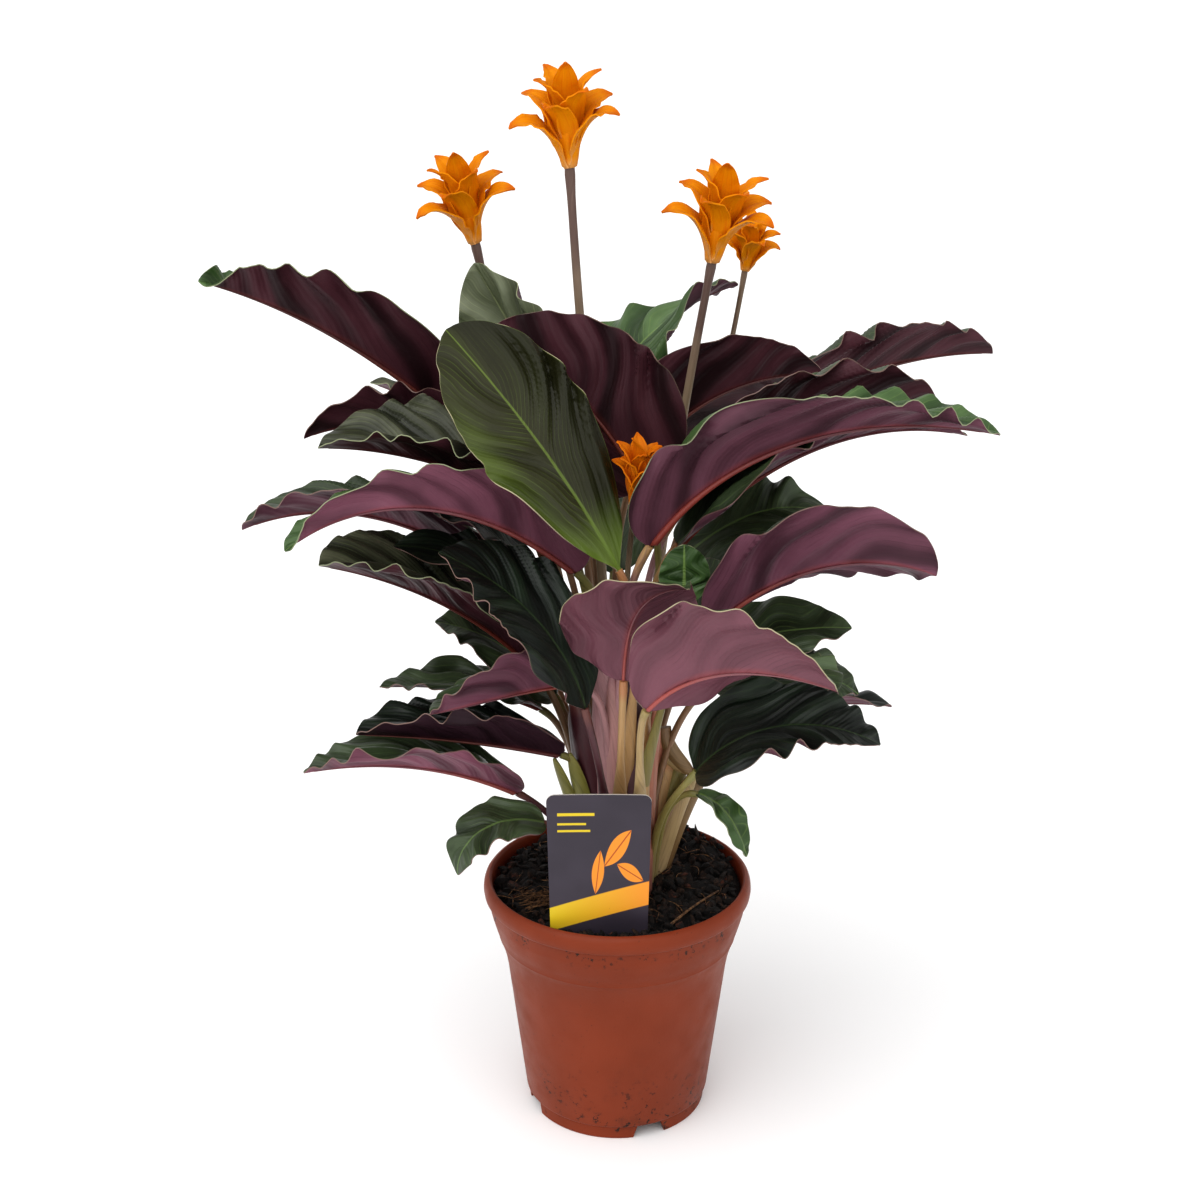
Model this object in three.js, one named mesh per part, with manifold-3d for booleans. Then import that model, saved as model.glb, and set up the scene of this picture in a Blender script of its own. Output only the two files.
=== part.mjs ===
// An eternal flame calathea (a prayer plant) in its nursery pot: pot, soil, plant tag, one clump of
// stalks, folded leaf blades with waved margins, and flower heads of orange bracts.
// Millimetres, +Z up. The origin is the middle of the pot's foot. The tag faces -Y.
import * as THREE from 'three';
import { mergeVertices } from 'three/addons/utils/BufferGeometryUtils.js';
import Module from 'manifold-3d';

// ---------------------------------------------------------------- driving dimensions
const SEAT_GAP = 0.3;          // clearance between pieces that touch

const POT_HEIGHT = 130;
const POT_RIM_RADIUS = 69.6;
const POT_FOOT_RADIUS = 48.6;
const POT_FLOOR_TOP = 10.5;
const POT_FLOOR_THICK = 1.5;
const POT_SEGMENTS = 32;
const FOOT_RING_RADIUS = 46.8;  // the foot stands in from the wall
const FOOT_RING_THICK = 2.2;
const FOOT_NOTCHES = 4;
const FOOT_NOTCH_WIDTH = 19;
const FOOT_NOTCH_SLANT = 3;
const FOOT_NOTCH_HEIGHT = 7;
const FOOT_NOTCH_REACH = 14;    // length of the cut, half inside and half outside the ring
const FOOT_NOTCH_TURN = 21;     // degrees from the back of the pot to the first notch
const DRAIN_HOLE_RADIUS = 4;
const DRAIN_HOLE_SIDES = 10;
const DRAIN_RING_RADIUS = 28;
const DRAIN_HOLES = 5;

// The pot's outside: foot ring, straight wall, flared collar, rolled lip. [radius, height]
const POT_OUTSIDE = [
  [FOOT_RING_RADIUS - FOOT_RING_THICK, 0], [FOOT_RING_RADIUS, 0], [FOOT_RING_RADIUS, 7.2],
  [POT_FOOT_RADIUS, 8.4], [58.5, 89], [61, 95.5], [64.6, 107], [66.2, 113], [66.6, 119],
  [68.4, 120], [POT_RIM_RADIUS, 124], [69.1, 127.5], [67.8, POT_HEIGHT - 0.5], [66.4, POT_HEIGHT],
];
// Its inside from the floor up to the lip.
const POT_INSIDE = [
  [47.1, POT_FLOOR_TOP], [57, 89.4], [59.4, 96], [62.9, 106.6], [64.6, 118], [65.2, 128.6],
];

const SOIL_TOP = 123;
const SOIL_GAP = 0.45;         // between the soil and the pot's inside
const SOIL_EDGE_RADIUS = 64;
const SOIL_RINGS = [54, 41, 30];
const SOIL_LUMP = 1.1;         // height of its lumps
const SOIL_BANK = 0.04;        // how much it rises towards the back, per millimetre
const SOIL_EDGE_DROP = 1;      // its edge lies this much lower than the middle
const SOIL_HEAP = { at: [36, 42], height: 6, spread: 30 };
const CLUMP_RADIUS = 22;
const CLUMP_DEPTH = 16;
const CLUMP_SIDES = 18;
const TALLEST_LEAF = 370;      // height at which the highest blades start
const CLUMP_TAPER = 2;

const TAG_WIDTH = 51;
const TAG_TOP = 201;
const TAG_SHOULDER = 118;      // where the card ends and its sides run in to the stake
const TAG_SIDE_TAPER = 1.5;
const TAG_CORNER = 4;
const TAG_STAKE_WIDTH = 18;
const TAG_STAKE_START = 96;
const TAG_STAKE_TIP = 62;
const TAG_STAKE_TIP_WIDTH = 4;
const TAG_THICK = 0.9;
const TAG_CENTRE = [-9.5, -51];
const TAG_LEAN = 3;            // degrees, top towards the front

const BLADE_THICK = 0.8;
const BLADE_KEEL = 0.7;        // how far the midrib stands out under the blade
const BLADE_BASE_WIDTH = 3;
const BLADE_TIP_WIDTH = 1;
const USUAL_WIDEST = 0.38;     // where a blade is widest, as a share of its length
const OUTLINE_POWER = 1.2;     // lower for a blade with rounder ends
const FOLD_EASE = 0.3;         // how much flatter the fold is at the margin than at the midrib
const RIPPLE_LENGTH = 27;      // from crest to crest along the margin
const RIPPLE_HEIGHT = 2.6;
const FEWEST_RIPPLES = 3;
const BROAD_BLADE = 64;        // from this width on, each half has two strips

const STALK_SIDES = 5;
const STALK_STEPS = 5;
const PETIOLE_FOOT_RADIUS = 3.4;
const PETIOLE_TOP_RADIUS = 1.7;
const SCAPE_FOOT_RADIUS = 2.6;
const SCAPE_TOP_RADIUS = 2;
const PETIOLE_CLIMB = 0.45;    // how far a petiole climbs straight up, as a share of its length
const PETIOLE_BEND = 0.2;      // and how far before its top it has turned into the blade's direction
const SCAPE_BEND = 0.35;       // the same for a flower stalk, at both of its ends
const LOW_LEAF_SPOT = 0.85;    // where a low leaf's stalk leaves the clump, as a share of its radius
const TALL_LEAF_SPOT = 0.45;   // and a tall leaf's

// ---------------------------------------------------------------- leaves
// at: where the blade starts. heading: plan direction at the base and the tip, 0 is +X and 90 is +Y.
// rise: the midrib's slope at the base, the middle and the tip. fold: how far each half is folded up.
// widest: where the blade is widest, if not where most are.
// roll: the blade's turn about its midrib at the base and the tip; positive lifts its left half.
const LEAVES = [
  { name: 'leaf_high_left', at: [-74, 42, 354], heading: [198, 202], rise: [45, 34, 18],
    length: 157, width: 68, widest: 0.46, fold: 50, roll: [25, 18] },
  { name: 'leaf_high_right', at: [72, 89, 350], heading: [16, 14], rise: [24, 13, -5],
    length: 140, width: 62, widest: 0.46, fold: 48, roll: [-26, -22] },
  { name: 'leaf_front_broad', at: [0, -46, 311], heading: [176, 180], rise: [63, 55, 49],
    length: 138, width: 60, widest: 0.56, fold: 14, roll: [-56, -56] },
  { name: 'leaf_top_centre', at: [12, -4, 338], heading: [180, 176], rise: [64, 48, 32],
    length: 108, width: 82, widest: 0.4, fold: 5, roll: [88, 80] },
  { name: 'leaf_back_left_top', at: [-31, 44, 370], heading: [172, 176], rise: [60, 60, 60],
    length: 80, width: 56, widest: 0.42, fold: 40, roll: [-105, -105] },
  { name: 'leaf_back_right_top', at: [-10, 80, 358], heading: [34, 8], rise: [60, 38, 14],
    length: 102, width: 72, fold: 14, roll: [25, -30] },
  { name: 'leaf_back_middle_top', at: [-29.5, 95, 357], heading: [160, 166], rise: [74, 70, 64],
    length: 46, width: 30, fold: 12, roll: [65, 65] },
  { name: 'leaf_right_back_top', at: [14, 54, 339], heading: [6, 0], rise: [54, 25, -5],
    length: 104, width: 66, fold: 20, roll: [-70, -56] },
  { name: 'leaf_right_high', at: [28, 4, 322], heading: [2, 0], rise: [52, 24, 2],
    length: 142, width: 74, widest: 0.5, fold: 54, roll: [-20, -18] },
  { name: 'leaf_right_front_broad', at: [14, -43, 322], heading: [-12, -9], rise: [58, 20, -10],
    length: 178, width: 74, widest: 0.4, fold: 40, roll: [-34, 0] },
  { name: 'leaf_right_under', at: [28, -28, 318], heading: [-3, -6], rise: [50, 25, -12],
    length: 151, width: 52, fold: 27, roll: [14, -20] },
  { name: 'leaf_right_green', at: [35, 15, 300], heading: [8, 5], rise: [40, 16, -30],
    length: 80, width: 50, fold: 16, roll: [25, 15] },
  { name: 'leaf_right_middle', at: [43, -46, 283], heading: [-6, -10], rise: [46, 18, -19],
    length: 114, width: 74, widest: 0.5, fold: 30, roll: [-34, -52] },
  { name: 'leaf_right_shade', at: [38, -20, 257], heading: [-4, -8], rise: [30, 14, 0],
    length: 78, width: 48, fold: 12, roll: [22, 20] },
  { name: 'leaf_centre_young', at: [26.5, -53, 297], heading: [100, 100], rise: [90, 88, 84],
    length: 30, width: 32, widest: 0.5, fold: 6, roll: [-6, -6] },
  { name: 'leaf_front_left_pink', at: [2, -62, 262], heading: [-80, -22], rise: [82, 60, 4],
    length: 72, width: 68, widest: 0.5, fold: 12, roll: [-24, -20] },
  { name: 'leaf_front_right_pink', at: [12, -86, 257], heading: [-36, -28], rise: [52, 16, -10],
    length: 104, width: 84, widest: 0.54, fold: 36, roll: [-54, -22] },
  { name: 'leaf_right_low_shade', at: [48, -2, 236], heading: [-4, -12], rise: [26, 2, -38],
    length: 76, width: 46, fold: 10, roll: [20, 15] },
  { name: 'leaf_right_low', at: [37, -54, 212], heading: [-10, -22], rise: [54, 16, -22],
    length: 98, width: 64, widest: 0.34, fold: 16, roll: [20, 10] },
  { name: 'leaf_right_low_back', at: [61, 0, 210], heading: [2, -2], rise: [30, 10, -10],
    length: 80, width: 44, fold: 30, roll: [-8, -8] },
  { name: 'leaf_right_drooping', at: [39, -27, 188], heading: [-14, -40], rise: [-8, -50, -70],
    length: 42, width: 20, fold: 15, roll: [0, 0] },
  { name: 'leaf_left_low', at: [-50, -20, 185], heading: [192, 196], rise: [30, 12, -5],
    length: 110, width: 62, fold: 40, roll: [12, 10] },
  { name: 'leaf_left_drooping', at: [-36, -36, 176], heading: [192, 208], rise: [22, -20, -96],
    length: 60, width: 36, fold: 8, roll: [-8, -8] },
  { name: 'leaf_left_low_dark', at: [-28, -20, 206], heading: [192, 196], rise: [16, 12, 8],
    length: 104, width: 72, widest: 0.44, fold: 40, roll: [20, 10] },
  { name: 'leaf_left_low_middle', at: [-39, 10, 218], heading: [186, 188], rise: [28, 10, 0],
    length: 84, width: 50, fold: 24, roll: [4, 4] },
  { name: 'leaf_left_low_back', at: [-32, 20, 221], heading: [182, 186], rise: [56, 36, 10],
    length: 76, width: 56, fold: 15, roll: [-18, -15] },
  { name: 'leaf_left_front_curled', at: [-22, -36, 250], heading: [196, 206], rise: [2, -6, 0],
    length: 72, width: 74, fold: 38, roll: [30, 26] },
  { name: 'leaf_left_front_dark', at: [-16, -60, 247], heading: [165, 190], rise: [76, 48, 26],
    length: 106, width: 68, widest: 0.52, fold: 14, roll: [-18, -16] },
  { name: 'leaf_left_middle_low', at: [-44, -4, 249], heading: [194, 196], rise: [48, 30, 14],
    length: 120, width: 82, widest: 0.56, fold: 34, roll: [2, 0] },
  { name: 'leaf_left_middle_back', at: [-49, 32, 271], heading: [180, 190], rise: [46, 18, -22],
    length: 154, width: 58, widest: 0.5, fold: 44, roll: [12, 10] },
  { name: 'leaf_left_middle', at: [-20, -25, 303], heading: [192, 202], rise: [42, 13, -36],
    length: 152, width: 70, fold: 40, roll: [26, 20] },
  { name: 'leaf_left_shade', at: [-28, -9, 274], heading: [182, 184], rise: [42, 28, 0],
    length: 92, width: 48, fold: 10, roll: [-16, -12] },
  { name: 'leaf_left_upper_front', at: [-44, -20, 340], heading: [183, 188], rise: [26, 16, 0],
    length: 101, width: 78, fold: 46, roll: [-4, -4] },
  { name: 'leaf_left_upper_back', at: [-60, 34, 334], heading: [184, 190], rise: [44, 15, -22],
    length: 104, width: 58, fold: 44, roll: [34, 28] },
  { name: 'leaf_left_far_tip', at: [-49, 82, 318], heading: [172, 168], rise: [46, 32, 15],
    length: 98, width: 48, fold: 30, roll: [0, 0] },
  { name: 'leaf_left_green', at: [-40, -1, 299], heading: [182, 182], rise: [40, 26, 4],
    length: 84, width: 34, fold: 14, roll: [0, 0] },
  { name: 'leaf_behind_high', at: [-2, 68, 272], heading: [88, 92], rise: [45, 20, -6],
    length: 90, width: 60, fold: 35, roll: [0, 0] },
  { name: 'leaf_behind_left', at: [-40, 46, 236], heading: [128, 130], rise: [40, 12, -12],
    length: 118, width: 56, fold: 35, roll: [0, 0] },
  { name: 'leaf_behind_right', at: [43, 45, 246], heading: [52, 48], rise: [42, 12, -10],
    length: 112, width: 54, fold: 35, roll: [0, 0] },
  { name: 'leaf_behind_low', at: [0, 42, 212], heading: [98, 102], rise: [36, 6, -25],
    length: 102, width: 54, fold: 30, roll: [0, 0] },
];

// ---------------------------------------------------------------- flower heads
// at: where the head starts on its stalk. lean: its tilt from upright, in degrees, in the plan direction
// of towards. foot: where its stalk leaves the clump, in plan.
const BLOOMS = [
  { name: 'bloom_tall', at: [-23.2, 22, 487], lean: 3, towards: 180, size: 1, foot: [0, 11] },
  { name: 'bloom_left', at: [-71, 66, 445], lean: 12, towards: 180, size: 0.97, foot: [-9, 12] },
  { name: 'bloom_right', at: [45.5, 44, 439], lean: 10, towards: 0, size: 1.03, foot: [9, 14] },
  { name: 'bloom_far', at: [67, 112, 424], lean: 8, towards: 0, size: 0.65, foot: [6, 14] },
  { name: 'bloom_low', at: [9, -33, 340], lean: 7, towards: 0, size: 0.6, foot: [5, -8] },
];
const HEAD_LENGTH = 30;
const HEAD_FOOT_RADIUS = 3;
const HEAD_TOP_RADIUS = 5;
const HEAD_SIDES = 7;
const GOLDEN_ANGLE = 137.5;    // degrees from one bract to the next
const BRACT_COUNT = 9;
const BRACT_STEPS = 3;
const BRACT_THICK = 1;
const BRACT_START = 3.2;       // how far from the axis a bract begins
const BRACT_WIDTH = 15;
const BRACT_FOLD = 24;
// The lowest bract spreads and turns over, the highest one stands almost upright.
const LOWEST_BRACT = { height: 4, length: 34, rise: [50, 38, -30] };
const HIGHEST_BRACT = { height: 25, length: 27, rise: [80, 68, 20] };

// ---------------------------------------------------------------- materials
const standard = (color, roughness, metalness = 0) =>
  new THREE.MeshStandardMaterial({ color, roughness, metalness });
const terracottaPlastic = standard(0x9d523e, 0.42);
const darkSoil = standard(0x2a1f18, 0.95);
const printedCard = standard(0x4b4650, 0.45);
const leafGreen = standard(0x3f5a2c, 0.5);
const stalkMauve = standard(0x8a6a5c, 0.55);
const bractOrange = standard(0xe07c12, 0.5);

// ---------------------------------------------------------------- helpers
const wasm = await Module();
wasm.setup();

const radians = THREE.MathUtils.degToRad;
const mix = THREE.MathUtils.lerp;

// A closed three.js geometry as a manifold solid.
function toSolid(geometry) {
  const bare = geometry.index ? geometry.clone() : mergeVertices(geometry);
  bare.deleteAttribute('normal');
  bare.deleteAttribute('uv');
  const merged = mergeVertices(bare, 1e-4);
  return new wasm.Manifold(new wasm.Mesh({
    numProp: 3,
    vertProperties: new Float32Array(merged.attributes.position.array),
    triVerts: new Uint32Array(merged.index.array),
  }));
}

// A manifold solid as a three.js geometry.
function toGeometry(solid) {
  const mesh = solid.getMesh();
  const geometry = new THREE.BufferGeometry();
  geometry.setAttribute('position', new THREE.BufferAttribute(new Float32Array(mesh.vertProperties), 3));
  geometry.setIndex(new THREE.BufferAttribute(new Uint32Array(mesh.triVerts), 1));
  return geometry;
}

const joined = (solids) => solids.reduce((whole, next) => whole.add(next));

// A lathed body that stands on +Z.
function lathe(profile, segments) {
  const points = profile.map(([radius, height]) => new THREE.Vector2(radius, height));
  return new THREE.LatheGeometry(points, segments).rotateX(Math.PI / 2);
}

function upright(radiusTop, radiusBottom, height, sides) {
  return new THREE.CylinderGeometry(radiusTop, radiusBottom, height, sides).rotateX(Math.PI / 2);
}

// The value at s of a quantity given at the base, the middle and the tip.
function along([base, middle, tip], s) {
  return base * (1 - s) * (1 - 2 * s) + middle * 4 * s * (1 - s) + tip * s * (2 * s - 1);
}

// ---------------------------------------------------------------- blades
// The direction, the left side and the upper face of a blade at the share s of its length.
function bladeFrame(blade, s) {
  const heading = radians(mix(blade.heading[0], blade.heading[1], s));
  const slope = radians(along(blade.rise, s));
  const roll = radians(mix(blade.roll[0], blade.roll[1], s));
  const forward = new THREE.Vector3(
    Math.cos(slope) * Math.cos(heading), Math.cos(slope) * Math.sin(heading), Math.sin(slope));
  const side = new THREE.Vector3(-Math.sin(heading), Math.cos(heading), 0);
  const upper = new THREE.Vector3().crossVectors(forward, side);
  const left = side.clone().multiplyScalar(Math.cos(roll)).addScaledVector(upper, Math.sin(roll));
  return { forward, left, face: new THREE.Vector3().crossVectors(forward, left) };
}

// The midrib as one point for each step, its direction taken in the middle of each step.
function bladeRib(blade, steps) {
  const points = [new THREE.Vector3(...blade.at)];
  for (let i = 0; i < steps; i += 1) {
    const { forward } = bladeFrame(blade, (i + 0.5) / steps);
    points.push(points[i].clone().addScaledVector(forward, blade.length / steps));
  }
  return points;
}

// Half the blade's width at s: round at the base and drawn out to a point.
function halfWidth(blade, s) {
  const { widest = USUAL_WIDEST } = blade;
  const outline = (s / widest) ** (OUTLINE_POWER * widest)
    * ((1 - s) / (1 - widest)) ** (OUTLINE_POWER * (1 - widest));
  return Math.max(blade.width * outline, mix(BLADE_BASE_WIDTH, BLADE_TIP_WIDTH, s)) / 2;
}

// A point of the blade's middle surface, u running from -1 at the right margin to 1 at the left one.
function bladePoint(blade, rib, frame, s, u) {
  const away = Math.abs(u);
  const half = Math.sign(u);
  const fold = radians(blade.fold * (1 - FOLD_EASE * away));
  const reach = halfWidth(blade, s) * away;
  const ripple = Math.cos(2 * Math.PI * blade.ripples * s + (half > 0 ? Math.PI : 0));
  const lift = blade.rippleHeight * away * away * Math.sqrt(4 * s * (1 - s)) * ripple;
  return rib.clone()
    .addScaledVector(frame.left, half * (reach * Math.cos(fold) - lift * Math.sin(fold)))
    .addScaledVector(frame.face, reach * Math.sin(fold) + lift * Math.cos(fold));
}

// A closed thin body: both faces of the blade are split into triangles alike, and a rim joins them.
function bladeGeometry(blade, steps, strips) {
  const rib = bladeRib(blade, steps);
  const columns = 2 * strips + 1;
  const middle = [];
  for (let i = 0; i <= steps; i += 1) {
    const s = i / steps;
    const frame = bladeFrame(blade, s);
    for (let j = 0; j < columns; j += 1) {
      middle.push(bladePoint(blade, rib[i], frame, s, (j - strips) / strips));
    }
  }
  const at = (i, j) => middle[i * columns + j];
  const clampRow = (i) => Math.min(Math.max(i, 0), steps);
  const clampColumn = (j) => Math.min(Math.max(j, 0), columns - 1);
  const upper = [];
  const lower = [];
  for (let i = 0; i <= steps; i += 1) {
    for (let j = 0; j < columns; j += 1) {
      const lengthwise = at(clampRow(i + 1), j).clone().sub(at(clampRow(i - 1), j));
      const crosswise = at(i, clampColumn(j + 1)).clone().sub(at(i, clampColumn(j - 1)));
      const normal = lengthwise.cross(crosswise).normalize();
      const keel = j === strips ? blade.keel * (1 - i / steps) : 0;
      upper.push(at(i, j).clone().addScaledVector(normal, blade.thick / 2));
      lower.push(at(i, j).clone().addScaledVector(normal, -blade.thick / 2 - keel));
    }
  }
  const triangles = [];
  const below = upper.length;
  const quad = (a, b, c, d) => triangles.push(a, b, c, a, c, d);
  for (let i = 0; i < steps; i += 1) {
    for (let j = 0; j < columns - 1; j += 1) {
      const corner = i * columns + j;
      const next = corner + columns;
      quad(corner, next, next + 1, corner + 1);
      triangles.push(below + corner, below + next + 1, below + next);
      triangles.push(below + corner, below + corner + 1, below + next + 1);
    }
    const right = i * columns;
    const left = right + columns - 1;
    quad(right, below + right, below + right + columns, right + columns);
    quad(left, left + columns, below + left + columns, below + left);
  }
  for (let j = 0; j < columns - 1; j += 1) {
    const tip = steps * columns + j;
    quad(j, j + 1, below + j + 1, below + j);
    quad(tip, below + tip, below + tip + 1, tip + 1);
  }
  const geometry = new THREE.BufferGeometry().setFromPoints([...upper, ...lower]);
  geometry.setIndex(triangles);
  return geometry;
}

// A leaf's blade, with two steps for each ripple of its margin.
function leafBlade(leaf) {
  const ripples = Math.max(FEWEST_RIPPLES, Math.round(leaf.length / RIPPLE_LENGTH));
  const blade = { ...leaf, ripples, rippleHeight: RIPPLE_HEIGHT, thick: BLADE_THICK, keel: BLADE_KEEL };
  return bladeGeometry(blade, 2 * ripples, leaf.width > BROAD_BLADE ? 2 : 1);
}

// ---------------------------------------------------------------- stalks
// A stalk along a curve, thick at its foot and thin at its top.
function stalkSolid(curve, footRadius, topRadius) {
  const tall = new THREE.CylinderGeometry(1, 1, 1, STALK_SIDES, STALK_STEPS).rotateX(Math.PI / 2);
  const frames = curve.computeFrenetFrames(STALK_STEPS);
  const position = tall.attributes.position;
  for (let i = 0; i < position.count; i += 1) {
    const share = position.getZ(i) + 0.5;
    const step = Math.round(share * STALK_STEPS);
    const radius = mix(footRadius, topRadius, Math.sqrt(share));
    const moved = curve.getPoint(share)
      .addScaledVector(frames.normals[step], position.getX(i) * radius)
      .addScaledVector(frames.binormals[step], position.getY(i) * radius);
    position.setXYZ(i, moved.x, moved.y, moved.z);
  }
  return toSolid(tall);
}

// From the clump, up and over into the blade's own direction.
function petioleCurve(leaf) {
  const { forward } = bladeFrame(leaf, 0);
  const end = new THREE.Vector3(...leaf.at).addScaledVector(forward, -SEAT_GAP - BLADE_THICK / 2);
  const foot = clumpSpot(end);
  const reach = end.distanceTo(foot);
  return new THREE.CubicBezierCurve3(
    foot,
    foot.clone().add(new THREE.Vector3(0, 0, PETIOLE_CLIMB * reach)),
    end.clone().addScaledVector(forward, -PETIOLE_BEND * reach),
    end,
  );
}

// Where a leaf's stalk leaves the clump: on the side that its blade is on, further in for a taller one.
function clumpSpot(top) {
  const tallness = (top.z - SOIL_TOP) / (TALLEST_LEAF - SOIL_TOP);
  const plan = new THREE.Vector2(top.x, top.y)
    .setLength(CLUMP_RADIUS * mix(LOW_LEAF_SPOT, TALL_LEAF_SPOT, tallness));
  return new THREE.Vector3(plan.x, plan.y, SOIL_TOP - CLUMP_DEPTH / 2);
}

function scapeCurve(bloom) {
  const up = bloomAxis(bloom);
  const end = new THREE.Vector3(...bloom.at).addScaledVector(up, -SEAT_GAP);
  const foot = new THREE.Vector3(...bloom.foot, SOIL_TOP - CLUMP_DEPTH / 2);
  const reach = end.distanceTo(foot);
  return new THREE.CubicBezierCurve3(
    foot,
    foot.clone().add(new THREE.Vector3(0, 0, SCAPE_BEND * reach)),
    end.clone().addScaledVector(up, -SCAPE_BEND * reach),
    end,
  );
}

function stalkClump() {
  const stump = upright(CLUMP_RADIUS - CLUMP_TAPER, CLUMP_RADIUS, CLUMP_DEPTH, CLUMP_SIDES)
    .translate(0, 0, SOIL_TOP - CLUMP_DEPTH / 2 + SEAT_GAP);
  const petioles = LEAVES.map((leaf) =>
    stalkSolid(petioleCurve(leaf), PETIOLE_FOOT_RADIUS, PETIOLE_TOP_RADIUS));
  const scapes = BLOOMS.map((bloom) =>
    stalkSolid(scapeCurve(bloom), SCAPE_FOOT_RADIUS, SCAPE_TOP_RADIUS));
  return toGeometry(joined([toSolid(stump), ...petioles, ...scapes]));
}

// ---------------------------------------------------------------- flower heads
function bloomAxis(bloom) {
  const lean = radians(bloom.lean);
  const towards = radians(bloom.towards);
  return new THREE.Vector3(
    Math.sin(lean) * Math.cos(towards), Math.sin(lean) * Math.sin(towards), Math.cos(lean));
}

// One bract, each further up and further round the axis than the one before.
function bractSolid(index) {
  const share = index / (BRACT_COUNT - 1);
  const turn = index * GOLDEN_ANGLE;
  const [low, high] = [LOWEST_BRACT, HIGHEST_BRACT];
  const start = [BRACT_START * Math.cos(radians(turn)), BRACT_START * Math.sin(radians(turn))];
  const bract = {
    at: [...start, mix(low.height, high.height, share)],
    heading: [turn, turn],
    rise: low.rise.map((slope, i) => mix(slope, high.rise[i], share)),
    roll: [0, 0],
    length: mix(low.length, high.length, share),
    width: BRACT_WIDTH,
    fold: BRACT_FOLD,
    ripples: 1,
    rippleHeight: 0,
    thick: BRACT_THICK,
    keel: 0,
  };
  return toSolid(bladeGeometry(bract, BRACT_STEPS, 1));
}

function bloomGeometry(bloom) {
  const axis = upright(HEAD_TOP_RADIUS, HEAD_FOOT_RADIUS, HEAD_LENGTH, HEAD_SIDES)
    .translate(0, 0, HEAD_LENGTH / 2);
  const bracts = Array.from({ length: BRACT_COUNT }, (_, index) => bractSolid(index));
  const geometry = toGeometry(joined([toSolid(axis), ...bracts]));
  const turn = new THREE.Quaternion().setFromUnitVectors(new THREE.Vector3(0, 0, 1), bloomAxis(bloom));
  return geometry.scale(bloom.size, bloom.size, bloom.size).applyQuaternion(turn).translate(...bloom.at);
}

// ---------------------------------------------------------------- pot, soil and tag
function potGeometry() {
  const underside = POT_FLOOR_TOP - POT_FLOOR_THICK;
  const profile = [
    [0, underside], [FOOT_RING_RADIUS - FOOT_RING_THICK, underside],
    ...POT_OUTSIDE, ...[...POT_INSIDE].reverse(), [0, POT_FLOOR_TOP],
  ];
  const shell = toSolid(lathe(profile, POT_SEGMENTS));
  const cuts = [];
  for (let i = 0; i < FOOT_NOTCHES; i += 1) {
    cuts.push(toSolid(footNotch().rotateZ(radians(FOOT_NOTCH_TURN) + (2 * Math.PI * i) / FOOT_NOTCHES)));
  }
  for (let i = 0; i < DRAIN_HOLES; i += 1) {
    const turn = (2 * Math.PI * i) / DRAIN_HOLES;
    const hole = upright(DRAIN_HOLE_RADIUS, DRAIN_HOLE_RADIUS, 4 * POT_FLOOR_THICK, DRAIN_HOLE_SIDES)
      .translate(DRAIN_RING_RADIUS * Math.cos(turn), DRAIN_RING_RADIUS * Math.sin(turn), POT_FLOOR_TOP);
    cuts.push(toSolid(hole));
  }
  return toGeometry(shell.subtract(joined(cuts)));
}

// What is cut from the foot ring for one notch: wider at the bottom, and through the whole ring.
function footNotch() {
  const half = FOOT_NOTCH_WIDTH / 2;
  const notch = new THREE.Shape();
  notch.moveTo(-half, -1);
  notch.lineTo(half, -1);
  notch.lineTo(half - FOOT_NOTCH_SLANT, FOOT_NOTCH_HEIGHT);
  notch.lineTo(FOOT_NOTCH_SLANT - half, FOOT_NOTCH_HEIGHT);
  return new THREE.ExtrudeGeometry(notch, { depth: FOOT_NOTCH_REACH, bevelEnabled: false })
    .rotateX(Math.PI / 2).translate(0, FOOT_RING_RADIUS + FOOT_NOTCH_REACH / 2, 0);
}

// The soil's height above its mean level at a point: lumpy, banked, and heaped up at the back right.
function soilLump(x, y) {
  const waves = Math.sin(x * 0.21 + 1.3) * Math.cos(y * 0.17) + 0.6 * Math.sin(x * 0.43 - y * 0.37);
  const fromHeap = Math.hypot(x - SOIL_HEAP.at[0], y - SOIL_HEAP.at[1]) / SOIL_HEAP.spread;
  return SOIL_LUMP * waves + SOIL_BANK * y + SOIL_HEAP.height * Math.exp(-(fromHeap ** 2));
}

// The soil fills the pot and has a hole for the clump's stump and a slot for the tag's stake.
function soilGeometry() {
  const wall = POT_INSIDE.filter(([, height]) => height < SOIL_TOP)
    .map(([radius, height]) => [radius - SOIL_GAP, Math.max(height, POT_FLOOR_TOP + SOIL_GAP)]);
  const edge = [SOIL_EDGE_RADIUS, SOIL_TOP - SOIL_EDGE_DROP];
  const rings = [...SOIL_RINGS, CLUMP_RADIUS + 2, 0].map((radius) => [radius, SOIL_TOP]);
  const profile = [[0, POT_FLOOR_TOP + SOIL_GAP], ...wall, edge, ...rings];
  const body = lathe(profile, POT_SEGMENTS);
  const position = body.attributes.position;
  for (let i = 0; i < position.count; i += 1) {
    const [x, y, z] = [position.getX(i), position.getY(i), position.getZ(i)];
    if (z >= edge[1]) position.setZ(i, z + soilLump(x, y));
  }
  const holeRadius = CLUMP_RADIUS + SEAT_GAP;
  const hole = upright(holeRadius, holeRadius, 2 * CLUMP_DEPTH, CLUMP_SIDES).translate(0, 0, SOIL_TOP);
  const slot = tagBody(2 * SEAT_GAP);
  return toGeometry(toSolid(body).subtract(toSolid(hole)).subtract(toSolid(slot)));
}

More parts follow.
